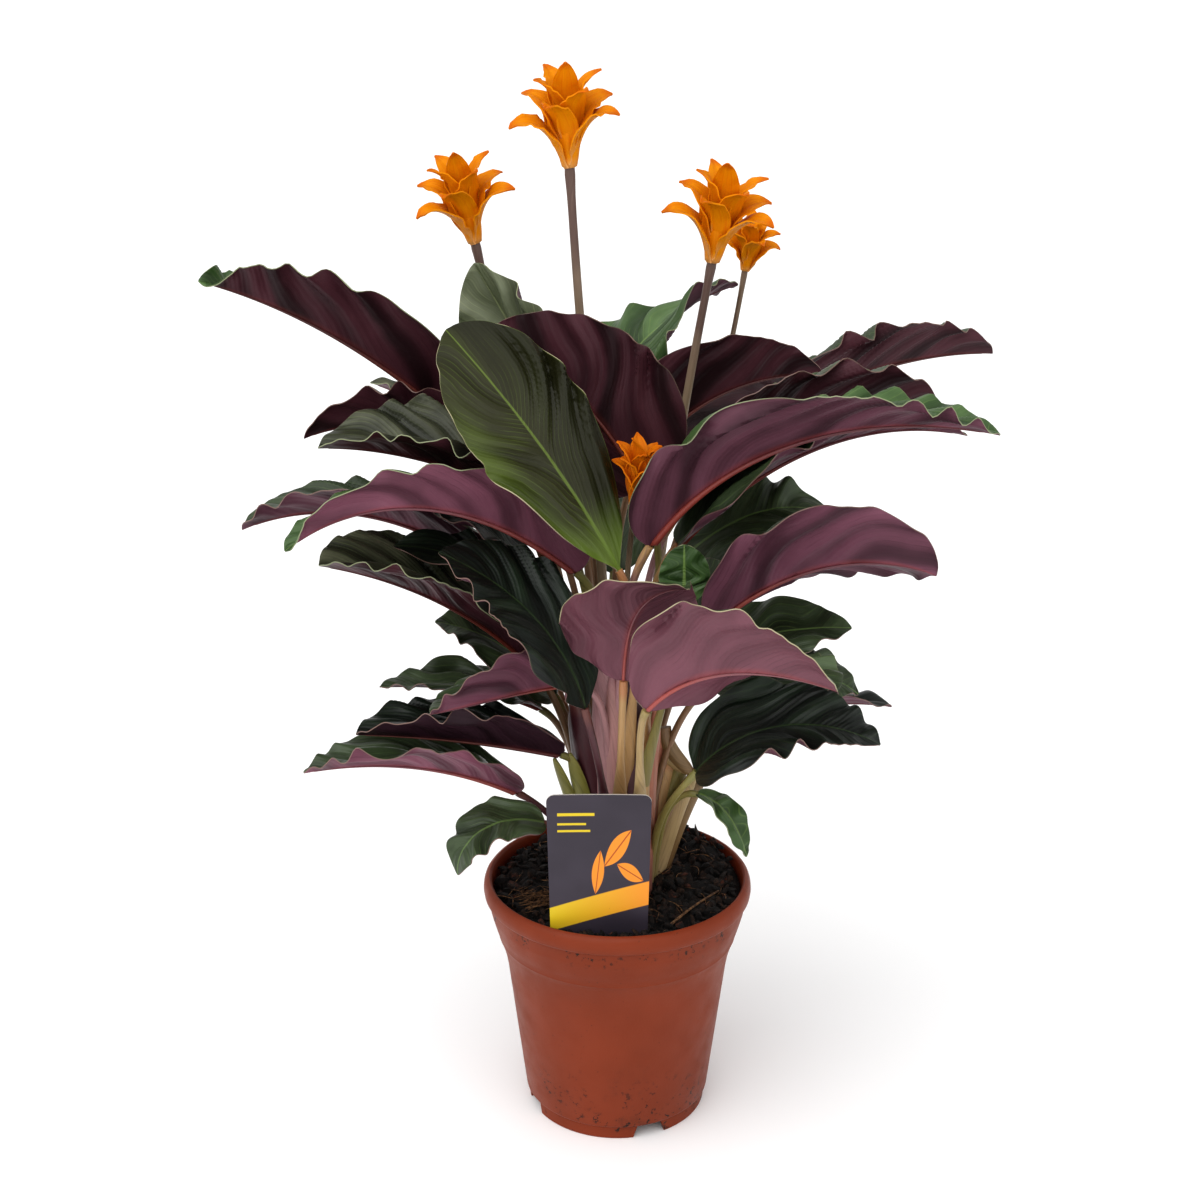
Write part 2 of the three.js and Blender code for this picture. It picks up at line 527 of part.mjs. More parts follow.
// The card and its stake in one sheet, grown on every side by margin for its slot in the soil.
function tagBody(margin = 0) {
  const half = TAG_WIDTH / 2 + margin;
  const foot = half - TAG_SIDE_TAPER;
  const stake = TAG_STAKE_WIDTH / 2 + margin;
  const tip = TAG_STAKE_TIP_WIDTH / 2 + margin;
  const cornerHeight = TAG_TOP - TAG_CORNER + margin;
  const card = new THREE.Shape();
  card.moveTo(-tip, TAG_STAKE_TIP - margin);
  card.lineTo(tip, TAG_STAKE_TIP - margin);
  card.lineTo(stake, TAG_STAKE_START - margin);
  card.lineTo(foot, TAG_SHOULDER - margin);
  card.lineTo(half, cornerHeight - margin);
  card.absarc(half - TAG_CORNER, cornerHeight, TAG_CORNER, 0, Math.PI / 2);
  card.absarc(TAG_CORNER - half, cornerHeight, TAG_CORNER, Math.PI / 2, Math.PI);
  card.lineTo(-half, cornerHeight - margin);
  card.lineTo(-foot, TAG_SHOULDER - margin);
  card.lineTo(-stake, TAG_STAKE_START - margin);
  card.closePath();
  const thick = TAG_THICK + 2 * margin;
  return new THREE.ExtrudeGeometry(card, { depth: thick, bevelEnabled: false, curveSegments: 4 })
    .translate(0, 0, -thick / 2).rotateX(Math.PI / 2).translate(0, 0, -SOIL_TOP)
    .rotateX(radians(TAG_LEAN)).translate(...TAG_CENTRE, SOIL_TOP);
}

// ---------------------------------------------------------------- the whole plant
const plant = new THREE.Group();

function place(name, geometry, material) {
  const mesh = new THREE.Mesh(geometry, material);
  mesh.name = name;
  plant.add(mesh);
}

place('pot', potGeometry(), terracottaPlastic);
place('soil', soilGeometry(), darkSoil);
place('plant_tag', tagBody(), printedCard);
place('stalk_clump', stalkClump(), stalkMauve);
for (const leaf of LEAVES) place(leaf.name, leafBlade(leaf), leafGreen);
for (const bloom of BLOOMS) place(bloom.name, bloomGeometry(bloom), bractOrange);

export default plant;
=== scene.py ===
"""An eternal flame calathea in its nursery pot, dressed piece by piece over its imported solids."""

import math
import random
from typing import NamedTuple

import bpy
import numpy as np
from bpy.props import FloatProperty, FloatVectorProperty, IntProperty, PointerProperty
from mathutils import Matrix, Vector


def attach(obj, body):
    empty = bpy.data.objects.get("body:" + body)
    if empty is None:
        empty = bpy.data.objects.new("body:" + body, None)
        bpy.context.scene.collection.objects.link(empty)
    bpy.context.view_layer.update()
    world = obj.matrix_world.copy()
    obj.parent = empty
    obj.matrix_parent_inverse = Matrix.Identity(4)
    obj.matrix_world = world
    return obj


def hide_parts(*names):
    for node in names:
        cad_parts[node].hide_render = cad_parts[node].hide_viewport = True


bl_info = {
    "name": "Eternal flame calathea",
    "version": (1, 0, 0),
    "blender": (4, 5, 0),
    "location": "3D View > Sidebar > Calathea",
    "description": "Builds a potted eternal flame calathea: leaves, stalks, flower heads, soil, tag and pot",
    "category": "Add Mesh",
}

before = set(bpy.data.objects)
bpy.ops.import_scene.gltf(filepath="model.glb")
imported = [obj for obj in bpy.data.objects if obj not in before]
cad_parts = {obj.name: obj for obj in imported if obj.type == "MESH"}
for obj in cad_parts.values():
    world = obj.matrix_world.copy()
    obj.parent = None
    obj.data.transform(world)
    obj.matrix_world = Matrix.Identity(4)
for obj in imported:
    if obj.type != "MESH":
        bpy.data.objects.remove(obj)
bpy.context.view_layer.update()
BODY = "root"
MM = 0.001
CM = 10      # in mm; the maps on blades and stalks are in cm


# ---- how the plant grew --------------------------------------------------------------------------

class Leaf(NamedTuple):
    """One leaf. Places and lengths are in mm, angles in degrees. A heading, rise or roll that changes
    along the leaf is given at its start and end, or at its start, middle and end."""
    at: tuple                 # where the blade starts, from the middle of the pot's foot
    heading: tuple            # its direction seen from above, 0 to the right and 90 to the back
    rise: tuple               # its slope
    length: float
    width: float
    fold: float               # how far both halves are folded up at the midrib
    roll: tuple               # how far the left half is lifted and the right one lowered
    widest: float = 0.38      # share of the length at which the blade is widest
    power: float = 1.2        # a higher one narrows both ends
    base: float = 3           # width of the blade's foot
    slant: float = 1.35       # how far the side veins slant to the tip
    wave: float = 3.0         # length of the margin's waves, in cm
    wavy: float = 0           # height of the waves, where it isn't the usual one
    tip_turn: float = 0       # more roll, at the tip only
    upper: str = "usual"      # kind of the upper face,
    under: str = "maroon"     # of the lower face and the midrib
    stalk: str = "usual"      # and of the stalk
    stalk_foot: tuple = ()    # where the stalk starts, where it isn't the usual place
    stalk_ease: float = 0.2   # share of the stalk that bends over into the blade


LEAVES = {
    "leaf_high_left": Leaf(
        (-74, 42, 354), (198, 202), (45, 34, 18), 157, 68, 50, (25, 18),
        widest=0.46, tip_turn=-70, upper="fresh", under="dusk", stalk="red"),
    "leaf_high_right": Leaf(
        (72, 89, 350), (16, 14), (24, 13, -5), 140, 62, 48, (-26, -22), widest=0.46, wavy=1.35, under="dusk"),
    "leaf_front_broad": Leaf(
        (0, -46, 311), (176, 180), (63, 55, 49), 138, 62, 14, (-56, -56),
        widest=0.62, power=1.55, slant=2.1, upper="bright", stalk="tan"),
    "leaf_top_centre": Leaf(
        (12, -4, 338), (180, 176), (64, 48, 32), 108, 82, 5, (88, 80),
        widest=0.4, under="dusk", stalk="olive"),
    "leaf_back_left_top": Leaf(
        (-31, 44, 370), (172, 176), (60, 60, 60), 80, 56, 40, (-105, -105), widest=0.42, upper="pale"),
    "leaf_back_right_top": Leaf(
        (-10, 80, 358), (34, 8), (60, 38, 14), 102, 72, 14, (25, -30), upper="fresh"),
    "leaf_back_middle_top": Leaf(
        (-29.5, 95, 357), (160, 166), (74, 70, 64), 46, 30, 12, (65, 65), under="pink"),
    "leaf_right_back_top": Leaf(
        (14, 54, 339), (6, 0), (54, 25, -5), 104, 66, 20, (-70, -56), under="dusk"),
    "leaf_right_high": Leaf(
        (28, 4, 322), (2, 0), (52, 24, 2), 142, 74, 54, (-20, -18),
        widest=0.5, wavy=1.6, under="dusk", stalk="mauve"),
    "leaf_right_front_broad": Leaf(
        (14, -43, 322), (-12, -9), (58, 20, -10), 178, 74, 40, (-34, 0),
        widest=0.4, wavy=1.15, upper="fresh", stalk="mauve"),
    "leaf_right_under": Leaf(
        (28, -28, 318), (-3, -6), (50, 25, -12), 151, 52, 27, (14, -20), stalk="tan"),
    "leaf_right_green": Leaf(
        (35, 15, 300), (8, 5), (40, 16, -30), 80, 50, 16, (25, 15)),
    "leaf_right_middle": Leaf(
        (43, -46, 283), (-6, -10), (46, 18, -19), 114, 74, 30, (-34, -52),
        widest=0.5, under="plum", stalk="red"),
    "leaf_right_shade": Leaf(
        (38, -20, 257), (-4, -8), (30, 14, 0), 78, 48, 12, (22, 20), under="deep"),
    "leaf_centre_young": Leaf(
        (30, -53, 297), (100, 100), (90, 88, 84), 29, 24, 6, (-6, -6),
        widest=0.5, upper="fresh", stalk="olive"),
    "leaf_front_left_pink": Leaf(
        (2, -62, 262), (-80, -22), (82, 60, 4), 72, 68, 12, (-24, -20),
        widest=0.5, under="pink", stalk="tan"),
    "leaf_front_right_pink": Leaf(
        (12, -86, 257), (-36, -28), (52, 16, -10), 104, 84, 36, (-54, -22),
        widest=0.54, under="pink", stalk="pale", stalk_foot=(12, -19), stalk_ease=0.07),
    "leaf_right_low_shade": Leaf(
        (48, -2, 236), (-4, -12), (26, 2, -38), 76, 46, 10, (20, 15), under="deep"),
    "leaf_right_low": Leaf(
        (37, -54, 212), (-10, -22), (54, 16, -22), 98, 64, 16, (20, 10),
        widest=0.34, base=8, upper="deep", stalk="olive", stalk_foot=(17, -2)),
    "leaf_right_low_back": Leaf(
        (61, 0, 210), (2, -2), (30, 10, -10), 80, 44, 30, (-8, -8), upper="deep"),
    "leaf_right_drooping": Leaf(
        (39, -27, 188), (-14, -40), (-8, -50, -70), 42, 20, 15, (0, 0),
        upper="fresh", stalk="olive", stalk_foot=(19, 2)),
    "leaf_left_low": Leaf(
        (-50, -20, 185), (192, 196), (30, 12, -5), 110, 62, 40, (12, 10), under="mauve", stalk="maroon"),
    "leaf_left_drooping": Leaf(
        (-36, -36, 176), (192, 208), (22, -20, -96), 60, 36, 8, (-8, -8), stalk="maroon"),
    "leaf_left_low_dark": Leaf(
        (-28, -20, 206), (192, 196), (16, 12, 8), 104, 72, 40, (20, 10),
        widest=0.44, base=10, upper="deep", under="deep"),
    "leaf_left_low_middle": Leaf(
        (-39, 10, 218), (186, 188), (28, 10, 0), 84, 50, 24, (4, 4)),
    "leaf_left_low_back": Leaf(
        (-32, 20, 221), (182, 186), (56, 36, 10), 76, 56, 15, (-18, -15)),
    "leaf_left_front_curled": Leaf(
        (-22, -36, 250), (196, 206), (2, -6, 0), 72, 74, 38, (30, 26), under="plum", stalk="mauve"),
    "leaf_left_front_dark": Leaf(
        (-16, -60, 247), (165, 190), (76, 48, 26), 106, 68, 14, (-18, -16),
        widest=0.52, power=1.7, upper="deep", stalk="maroon"),
    "leaf_left_middle_low": Leaf(
        (-44, -4, 249), (194, 196), (48, 30, 14), 120, 82, 34, (2, 0),
        widest=0.56, upper="waxy", under="dusk"),
    "leaf_left_middle_back": Leaf(
        (-49, 32, 271), (180, 190), (46, 18, -22), 154, 58, 44, (12, 10), widest=0.5),
    "leaf_left_middle": Leaf(
        (-20, -25, 303), (192, 202), (42, 13, -36), 152, 70, 40, (26, 20),
        tip_turn=-45, upper="fresh", under="mauve", stalk="olive"),
    "leaf_left_shade": Leaf(
        (-28, -9, 274), (182, 184), (42, 28, 0), 92, 48, 10, (-16, -12), upper="deep", under="deep"),
    "leaf_left_upper_front": Leaf(
        (-44, -20, 340), (183, 188), (26, 16, 0), 101, 78, 46, (-4, -4),
        upper="waxy", under="dusk", stalk="olive"),
    "leaf_left_upper_back": Leaf(
        (-60, 34, 334), (184, 190), (44, 15, -22), 104, 58, 44, (34, 28), under="dusk"),
    "leaf_left_far_tip": Leaf(
        (-49, 82, 318), (172, 168), (46, 32, 15), 98, 48, 30, (0, 0), upper="waxy"),
    "leaf_left_green": Leaf(
        (-40, -1, 299), (182, 182), (40, 26, 4), 84, 34, 14, (0, 0), upper="deep"),
    "leaf_behind_high": Leaf(
        (-2, 68, 272), (88, 92), (45, 20, -6), 90, 60, 35, (0, 0)),
    "leaf_behind_left": Leaf(
        (-40, 46, 236), (128, 130), (40, 12, -12), 118, 56, 35, (0, 0)),
    "leaf_behind_right": Leaf(
        (43, 45, 246), (52, 48), (42, 12, -10), 112, 54, 35, (0, 0)),
    "leaf_behind_low": Leaf(
        (0, 42, 212), (98, 102), (36, 6, -25), 102, 54, 30, (0, 0)),
}


class Bloom(NamedTuple):
    """One flower head on its stalk, in mm and degrees."""
    at: tuple                       # where the bracts start
    lean: float                     # from upright
    towards: float                  # heading of the lean
    size: float                     # share of the full size
    foot: tuple                     # where the stalk starts in the soil
    turn: float                     # about the head's own axis
    spread: tuple = (70, 48, -40)   # slope of the lowest bracts at their start, middle and end


BLOOMS = {
    "bloom_tall": Bloom((-23.2, 22, 487), 3, 180, 1.0, foot=(0, 11), turn=196),
    "bloom_left": Bloom((-71, 66, 445), 12, 180, 0.97, foot=(-9, 12), turn=206),
    "bloom_right": Bloom((45.5, 44, 439), 10, 0, 1.03, foot=(9, 14), turn=190),
    "bloom_far": Bloom((67, 112, 424), 8, 0, 0.65, foot=(6, 14), turn=20),
    "bloom_low": Bloom((7, -33, 337), 7, 0, 0.72, foot=(5, -8), turn=170, spread=(84, 70, 0)),
}


class Sheath(NamedTuple):
    """One loose sheath by the clump of stalks, in mm."""
    foot: tuple       # its place, and its height where it doesn't start in the soil
    lean: tuple       # how far its tip stands to the side
    height: float     # below 0 where it hangs down
    wide: float       # half its width
    skin: str
    splay: float = 0  # share of the lean that it has from its foot on
    face: tuple = ()  # direction that it turns its back to, where it isn't outwards


SHEATHS = (
    Sheath((-6, -20), (0, -4), 152, 8.4, "mauve"),
    Sheath((0, -21.5), (-3, -4), 138, 4.6, "pink"),
    Sheath((4, -18), (3, -3), 146, 7.6, "grey"),
    Sheath((-11, -17), (-12, -2), 124, 6.4, "maroon"),
    Sheath((12, -18.5), (2, -8), 122, 4.0, "tan"),
    Sheath((15, -15), (5, -4), 124, 4.6, "red"),
    Sheath((8, -20), (5, -2), 118, 4.8, "grey"),
    Sheath((12, 2), (9, -4), 98, 5.2, "red", 0.4, (0.2, -1)),
    Sheath((14, 5), (13, -3), 80, 5.6, "tan", 0.4, (0.3, -1)),
    Sheath((16, 7), (19, -3), 78, 5.6, "olive", 0.35, (0.3, -1)),
    Sheath((18, 6), (22, -5), 70, 4.6, "pale", 0.35, (0.4, -1)),
    Sheath((20, 9), (26, -3), 69, 4.4, "dry", 0.35, (0.4, -1)),
    Sheath((24, -1, 213), (15, 0), -27, 3.4, "dry", 0, (0.3, -1)),
    Sheath((21, 1, 204), (17, 0), -18, 3.0, "pale", 0, (0.3, -1)),
    Sheath((-15, -12), (-9, -2), 112, 5.6, "maroon"),
    Sheath((-14, -14), (-18, -3), 88, 4.6, "lime"),
    Sheath((-11, -17), (-13, -3), 92, 5.2, "lime"),
    Sheath((15, 12), (14, 10), 84, 5.2, "mauve"),
    Sheath((0, 20), (0, 12), 100, 6.2, "olive"),
    Sheath((-14, 13), (-12, 12), 90, 5.4, "tan"),
    Sheath((6, 19), (6, 6), 112, 5.6, "grey"),
)

# Heights above the floor, and the radius of the clump of stalks at the soil.
SOIL_TOP, STALK_FOOT, TALLEST_LEAF = 123, 115, 370
CLUMP_RADIUS = 22
GOLDEN_ANGLE = math.radians(137.5)
FULL_TURN = 2 * math.pi


# ---- settings ------------------------------------------------------------------------------------

def shade(red, green, blue):
    """A colour named by its screen values from 0 to 255, as the linear one that a shader wants."""
    def linear(level):
        level /= 255
        return level / 12.92 if level <= 0.04045 else ((level + 0.055) / 1.055) ** 2.4
    return (linear(red), linear(green), linear(blue))


def colour(name, description, red, green, blue):
    return FloatVectorProperty(name=name, description=description, subtype="COLOR", size=3,
                               min=0, max=1, default=shade(red, green, blue))


def length(name, description, millimetres):
    return FloatProperty(name=name, description=description, unit="LENGTH", default=millimetres * MM)


def count(name, description, default, least=0):
    return IntProperty(name=name, description=description, default=default, min=least)


class LeafSettings(bpy.types.PropertyGroup):
    thickness: length("Thickness", "Thickness of every leaf blade", 0.5)
    ripple: length("Ripple", "How far the leaf margins wave up and down", 3.7)
    pleat: length("Pleat", "Height of the pleats between the side veins", 0.7)
    midrib: length("Midrib", "Radius of the midrib at the leaf's start", 1.2)
    top: colour("Upper face", "Colour of the upper leaf faces", 50, 62, 40)
    # The pale tone is painted sheen on the ridges of the upper faces, and also tints their fine veins.
    top_pale: colour("Upper face, pale", "Bloom on the ridges of the upper faces", 96, 112, 82)
    bright: colour("Bright face", "Ground colour of the youngest leaves", 46, 46, 22)
    under: colour("Lower face", "Colour of the lower leaf faces", 101, 64, 77)
    under_pink: colour("Young lower face", "Colour of the lower faces of the young leaves", 118, 76, 87)
    rib: colour("Midrib", "Colour of the midrib below", 168, 76, 68)
    edge: colour("Margin", "Colour of the thin margin", 150, 142, 114)


class StalkSettings(bpy.types.PropertyGroup):
    petiole_foot: length("Leaf stalk foot", "Half the width of a leaf stalk's sheath at the soil", 4.4)
    petiole_top: length("Leaf stalk top", "Radius of a leaf stalk under its blade", 1.8)
    scape_foot: length("Flower stalk foot", "Radius of a flower stalk at the soil", 2.8)
    scape_top: length("Flower stalk top", "Radius of a flower stalk under its head", 1.95)
    mauve: colour("Mauve", "Colour of the mauve sheaths", 170, 128, 130)
    maroon: colour("Maroon", "Colour of the darkest stalks", 72, 32, 40)
    tan: colour("Tan", "Colour of the tan stalks", 182, 146, 100)
    olive: colour("Olive", "Colour of the green stalks", 132, 122, 70)
    red: colour("Red", "Colour of the reddish stalks", 164, 106, 84)


class BloomSettings(bpy.types.PropertyGroup):
    bracts: count("Bracts", "Bracts on each flower head", 12, least=5)
    bract_thickness: length("Bract thickness", "Thickness of a bract", 0.7)
    orange: colour("Orange", "Colour of the bracts", 218, 136, 0)
    streak: colour("Streak", "Colour of the veins in the bracts", 208, 108, 2)
    foot: colour("Foot", "Colour of a flower head's narrow foot", 212, 156, 96)


class SoilSettings(bpy.types.PropertyGroup):
    chips: count("Bark chips", "Bits of bark on the soil", 1500)
    fibres: count("Fibres", "Fibres on the soil", 170)
    relief: length("Relief", "Height of the soil's lumps", 2.2)
    dark: colour("Dark soil", "Colour of the wet soil", 22, 16, 13)
    bark: colour("Bark", "Colour of the bark chips", 62, 42, 30)
    fibre: colour("Fibre", "Colour of the coir fibres", 142, 104, 66)


class TagSettings(bpy.types.PropertyGroup):
    width: length("Width", "Width of the tag's card", 51)
    thickness: length("Thickness", "Thickness of the card", 0.9)
    ground: colour("Ground", "Printed ground colour", 62, 56, 66)
    wedge: colour("Wedge", "First colour of the printed wedge", 214, 188, 42)
    wedge_end: colour("Wedge end", "Last colour of the printed wedge", 226, 142, 48)


class PotSettings(bpy.types.PropertyGroup):
    sides: count("Sides", "Sides of the turned pot", 144, least=24)
    terracotta: colour("Plastic", "Colour of the pot's plastic", 126, 55, 30)
    smudge: colour("Smudge", "Colour of the soil smudges", 72, 40, 28)


class StudioSettings(bpy.types.PropertyGroup):
    lens: FloatProperty(name="Lens", description="Focal length in mm", default=56.7)
    tilt: FloatProperty(name="Tilt", description="Camera tilt from straight down", subtype="ANGLE",
                        default=math.radians(70.7))
    place: FloatVectorProperty(name="Place", description="Camera place", subtype="TRANSLATION",
                               unit="LENGTH", default=(-0.009, -0.883, 0.590))
    floor: colour("Floor", "Colour of the floor", 250, 250, 250)


# ---- small helpers -------------------------------------------------------------------------------

def select_only(*objects):
    """Selects these objects alone and makes the first one active."""
    bpy.ops.object.select_all(action="DESELECT")
    for obj in objects:
        obj.select_set(True)
    bpy.context.view_layer.objects.active = objects[0]


def in_edit_mode(obj, select="SELECT"):
    select_only(obj)
    bpy.ops.object.mode_set(mode="EDIT")
    bpy.ops.mesh.select_all(action=select)


def in_object_mode():
    bpy.ops.object.mode_set(mode="OBJECT")


def named(obj, name):
    obj.name = name
    obj.data.name = name
    return obj


def primitive(kind, name, **values):
    """Adds one of the primitive meshes, with its place put into the mesh."""
    bpy.ops.object.select_all(action="DESELECT")
    getattr(bpy.ops.mesh, f"primitive_{kind}_add")(**values)
    if "location" in values:
        bpy.ops.object.transform_apply(location=True, rotation=True, scale=True)
    return named(bpy.context.active_object, name)


def apply_modifier(obj, kind, **values):
    modifier = obj.modifiers.new(kind.title(), kind)
    for key, value in values.items():
        setattr(modifier, key, value)
    select_only(obj)
    bpy.ops.object.modifier_apply(modifier=modifier.name)


def join(pieces, name):
    select_only(*pieces)
    if len(pieces) > 1:
        bpy.ops.object.join()
    return named(pieces[0], name)


def copy_of(obj, place, material):
    """A copy with its own mesh, put in its place through its vertices."""
    twin = obj.copy()
    twin.data = obj.data.copy()
    twin.data.transform(place)
    twin.data.materials.append(material)
    bpy.context.collection.objects.link(twin)
    return twin


def discard(objects):
    for obj in objects:
        bpy.data.objects.remove(obj)


def places_of(mesh):
    places = np.empty(len(mesh.vertices) * 3)
    mesh.vertices.foreach_get("co", places)
    return places.reshape(-1, 3)


def move_to(mesh, places):
    mesh.vertices.foreach_set("co", np.ascontiguousarray(places, dtype=np.float64).ravel())
    mesh.update()


def write_uv(mesh, name, across, up):
    """Writes a map from one pair of values for each vertex."""
    layer = mesh.uv_layers.get(name) or mesh.uv_layers.new(name=name)
    corners = np.empty(len(mesh.loops), dtype=np.int32)
    mesh.loops.foreach_get("vertex_index", corners)
    layer.data.foreach_set("uv", np.stack([across, up], -1)[corners].ravel())


def point_outwards():
    """Turns the faces of the mesh in edit mode outwards and leaves edit mode."""
    bpy.ops.mesh.select_all(action="SELECT")
    bpy.ops.mesh.normals_make_consistent(inside=False)
    in_object_mode()


def finish_piece(parts, name, nodes, angle=60):
    """Joins and smooths the parts of one finished piece, and settles it in the frame."""
    piece = join(parts, name)
    select_only(piece)
    bpy.ops.object.shade_smooth_by_angle(angle=math.radians(angle))
    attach(piece, BODY)
    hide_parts(*nodes)


def unit(vectors):
    return vectors / np.linalg.norm(vectors, axis=-1, keepdims=True)


def interpolated(at, stations, values):
    """Rows of values at the given stations, read off at other places between them."""
    return np.stack([np.interp(at, stations, values[:, axis]) for axis in range(3)], -1)


def along(values, share):
    """A value that runs through its start, middle and end, or evenly from start to end."""
    if len(values) == 2:
        return values[0] + (values[1] - values[0]) * share
    first, middle, last = values
    return (first * (1 - share) * (1 - 2 * share) + middle * 4 * share * (1 - share)
            + last * share * (2 * share - 1))


def waves(x, y, z, seed, size):
    """Soft lumps from -1 to 1: a sum of sines in mixed directions, of about the given size."""
    chance = random.Random(seed)
    total = 0
    for _ in range(9):
        turn, dip = chance.uniform(0, FULL_TURN), chance.uniform(-1, 1)
        flat = math.sqrt(1 - dip * dip)
        pace = FULL_TURN / (size * chance.uniform(0.6, 1.7))
        total = total + np.sin(pace * (x * flat * math.cos(turn) + y * flat * math.sin(turn) + z * dip)
                               + chance.uniform(0, 6.28))
    return total / 4.2


def tube(name, middle, side, up, wide, deep, around):
    """A closed tube along the given places, oval where wide and deep differ. All in mm."""
    obj = primitive("grid", name, x_subdivisions=len(middle) - 1, y_subdivisions=around, size=1,
                    calc_uvs=True)
    mesh = obj.data
    flat = places_of(mesh)
    station, round_it = np.clip(flat[:, 0] + 0.5, 0, 1), flat[:, 1] + 0.5
    line = np.linspace(0, 1, len(middle))
    middle_here, side, up = (interpolated(station, line, values) for values in (middle, side, up))
    wide, deep = np.interp(station, line, wide), np.interp(station, line, deep)
    turn = -FULL_TURN * round_it
    move_to(mesh, MM * (middle_here + side * (wide * np.cos(turn))[:, None]
                        + up * (deep * np.sin(turn))[:, None]))
    steps = np.linalg.norm(np.diff(middle, axis=0), axis=1)
    walked = np.interp(station, line, np.concatenate([[0], np.cumsum(steps)]))
    mesh.uv_layers[0].name = "share"
    write_uv(mesh, "reach", walked / CM, round_it * FULL_TURN * wide / CM)
    in_edit_mode(obj)
    bpy.ops.mesh.remove_doubles(threshold=0.00001)
    in_object_mode()
    return obj


def stalk_shares(number):
    """Shares along a stalk, with two close together at each end so that the ends close flat."""
    return np.concatenate([[0, 0.002], np.linspace(0.015, 0.985, number), [0.998, 1]])


def closed(radius):
    """Closes a tube's two ends."""
    radius = np.array(radius)
    radius[[0, -1]] = 0
    return radius


def bezier(points, share):
    a, b, c, d = (np.asarray(point, dtype=float) for point in points)
    t = share[:, None]
    return a * (1 - t) ** 3 + b * 3 * t * (1 - t) ** 2 + c * 3 * t ** 2 * (1 - t) + d * t ** 3


def tube_sides(route, outwards):
    """For each place on a tube: the direction around the plant, and the one away from it."""
    forward = unit(np.gradient(route, axis=0))
    side = unit(np.cross(np.broadcast_to(outwards, forward.shape), forward))
    return side, np.cross(forward, side)


# ---- material helpers ----------------------------------------------------------------------------

class Nodes:
    """A node tree that is wired in few words. A value may be a number, a tone or an output."""

    def __init__(self, tree):
        self.tree = tree

    def feed(self, socket, value):
        if isinstance(value, bpy.types.NodeSocket):
            self.tree.links.new(value, socket)
        else:
            socket.default_value = (*value, 1) if socket.type == "RGBA" else value

    def add(self, kind, *values, **properties):
        """Adds a node and feeds its inputs in their order, past any value that is None."""
        node = self.tree.nodes.new("ShaderNode" + kind)
        for key, value in properties.items():
            setattr(node, key, value)
        for socket, value in zip(node.inputs, values):
            if value is not None:
                self.feed(socket, value)
        return node

    def calc(self, operation, *values):
        return self.add("Math", *values, operation=operation).outputs[0]

    def product(self, *factors):
        result = factors[0]
        for factor in factors[1:]:
            result = self.calc("MULTIPLY", result, factor)
        return result

    def rise(self, value, low, high):
        """0 at low and 1 at high, with a smooth step between them."""
        return self.add("MapRange", value, low, high, interpolation_type="SMOOTHSTEP").outputs["Result"]

    def mix(self, share, first, second):
        node = self.add("Mix", data_type="RGBA")
        sockets = {socket.identifier: socket for socket in (*node.inputs, *node.outputs)}
        for key, value in (("Factor_Float", share), ("A_Color", first), ("B_Color", second)):
            self.feed(sockets[key], value)
        return sockets["Result_Color"]

    def ramp(self, value, stops):
        node = self.add("ValToRGB", value)
        elements = node.color_ramp.elements
        while len(elements) < len(stops):
            elements.new(0.5)
        for element, (place, tone) in zip(elements, stops):
            element.position = place
            element.color = (*tone, 1)
        return node.outputs["Color"]

    def uv(self, name):
        return self.add("UVMap", uv_map=name).outputs["UV"]

    def xyz(self, vector):
        return self.add("SeparateXYZ", vector).outputs

    def place(self):
        return self.add("TexCoord").outputs["Object"]

    def noise(self, size, detail=3.0, roughness=0.55):
        """Noise in object space whose lumps are about size metres."""
        scale = self.calc("DIVIDE", 1.0, size) if isinstance(size, bpy.types.NodeSocket) else 1 / size
        return self.add("TexNoise", self.place(), None, scale, detail, roughness).outputs["Fac"]

    def streaks(self, map_name, stretch):
        """Noise that is drawn out along one of the piece's own maps."""
        place = self.add("Mapping", self.uv(map_name), None, None, stretch).outputs["Vector"]
        return self.add("TexNoise", place, None, 1.0, 3.0).outputs["Fac"]

    def pattern(self, name, **values):
        """Places one of the node groups and gives back its outputs."""
        node = self.add("Group", node_tree=bpy.data.node_groups[name])
        for key, value in values.items():
            self.feed(node.inputs[key], value)
        return node.outputs


class Pattern(Nodes):
    """A node group: an effect that several finishes share."""

    def __init__(self, name, inputs, outputs):
        super().__init__(bpy.data.node_groups.new(name, "ShaderNodeTree"))
        for in_out, labels in (("INPUT", inputs), ("OUTPUT", outputs)):
            for label in labels:
                self.tree.interface.new_socket(name=label, in_out=in_out, socket_type="NodeSocketFloat")
        self.given = self.tree.nodes.new("NodeGroupInput").outputs
        self.results = self.tree.nodes.new("NodeGroupOutput").inputs

    def give(self, **results):
        for label, value in results.items():
            self.feed(self.results[label], value)


class Finish(Nodes):
    """A material whose colour is laid on in coats, from its ground up."""

    def __init__(self, name, ground, roughness, **constants):
        self.material = bpy.data.materials.new(name)
        self.material.use_nodes = True
        super().__init__(self.material.node_tree)
        self.shader = self.tree.nodes["Principled BSDF"].inputs
        self.tone = ground
        for socket, value in {"Roughness": roughness, **constants}.items():
            self.feed(self.shader[socket.replace("_", " ")], value)

    def coat(self, tone, *masks):
        """Lays a tone over the ones below, as strongly as the product of its masks."""
        self.tone = self.mix(self.product(*masks), self.tone, tone)

    def done(self, *reliefs):
        """Wires up the colour and the reliefs, each a height, its distance in m and its strength."""
        self.feed(self.shader["Base Color"], self.tone)
        normal = None
        for height, distance, strength in reliefs:
            bump = self.add("Bump")
            inputs = {"Height": height, "Distance": distance, "Strength": strength, "Normal": normal}
            for key, value in inputs.items():
                if value is not None:
                    self.feed(bump.inputs[key], value)
            normal = bump.outputs["Normal"]
        if normal is not None:
            self.feed(self.shader["Normal"], normal)
        return self.material


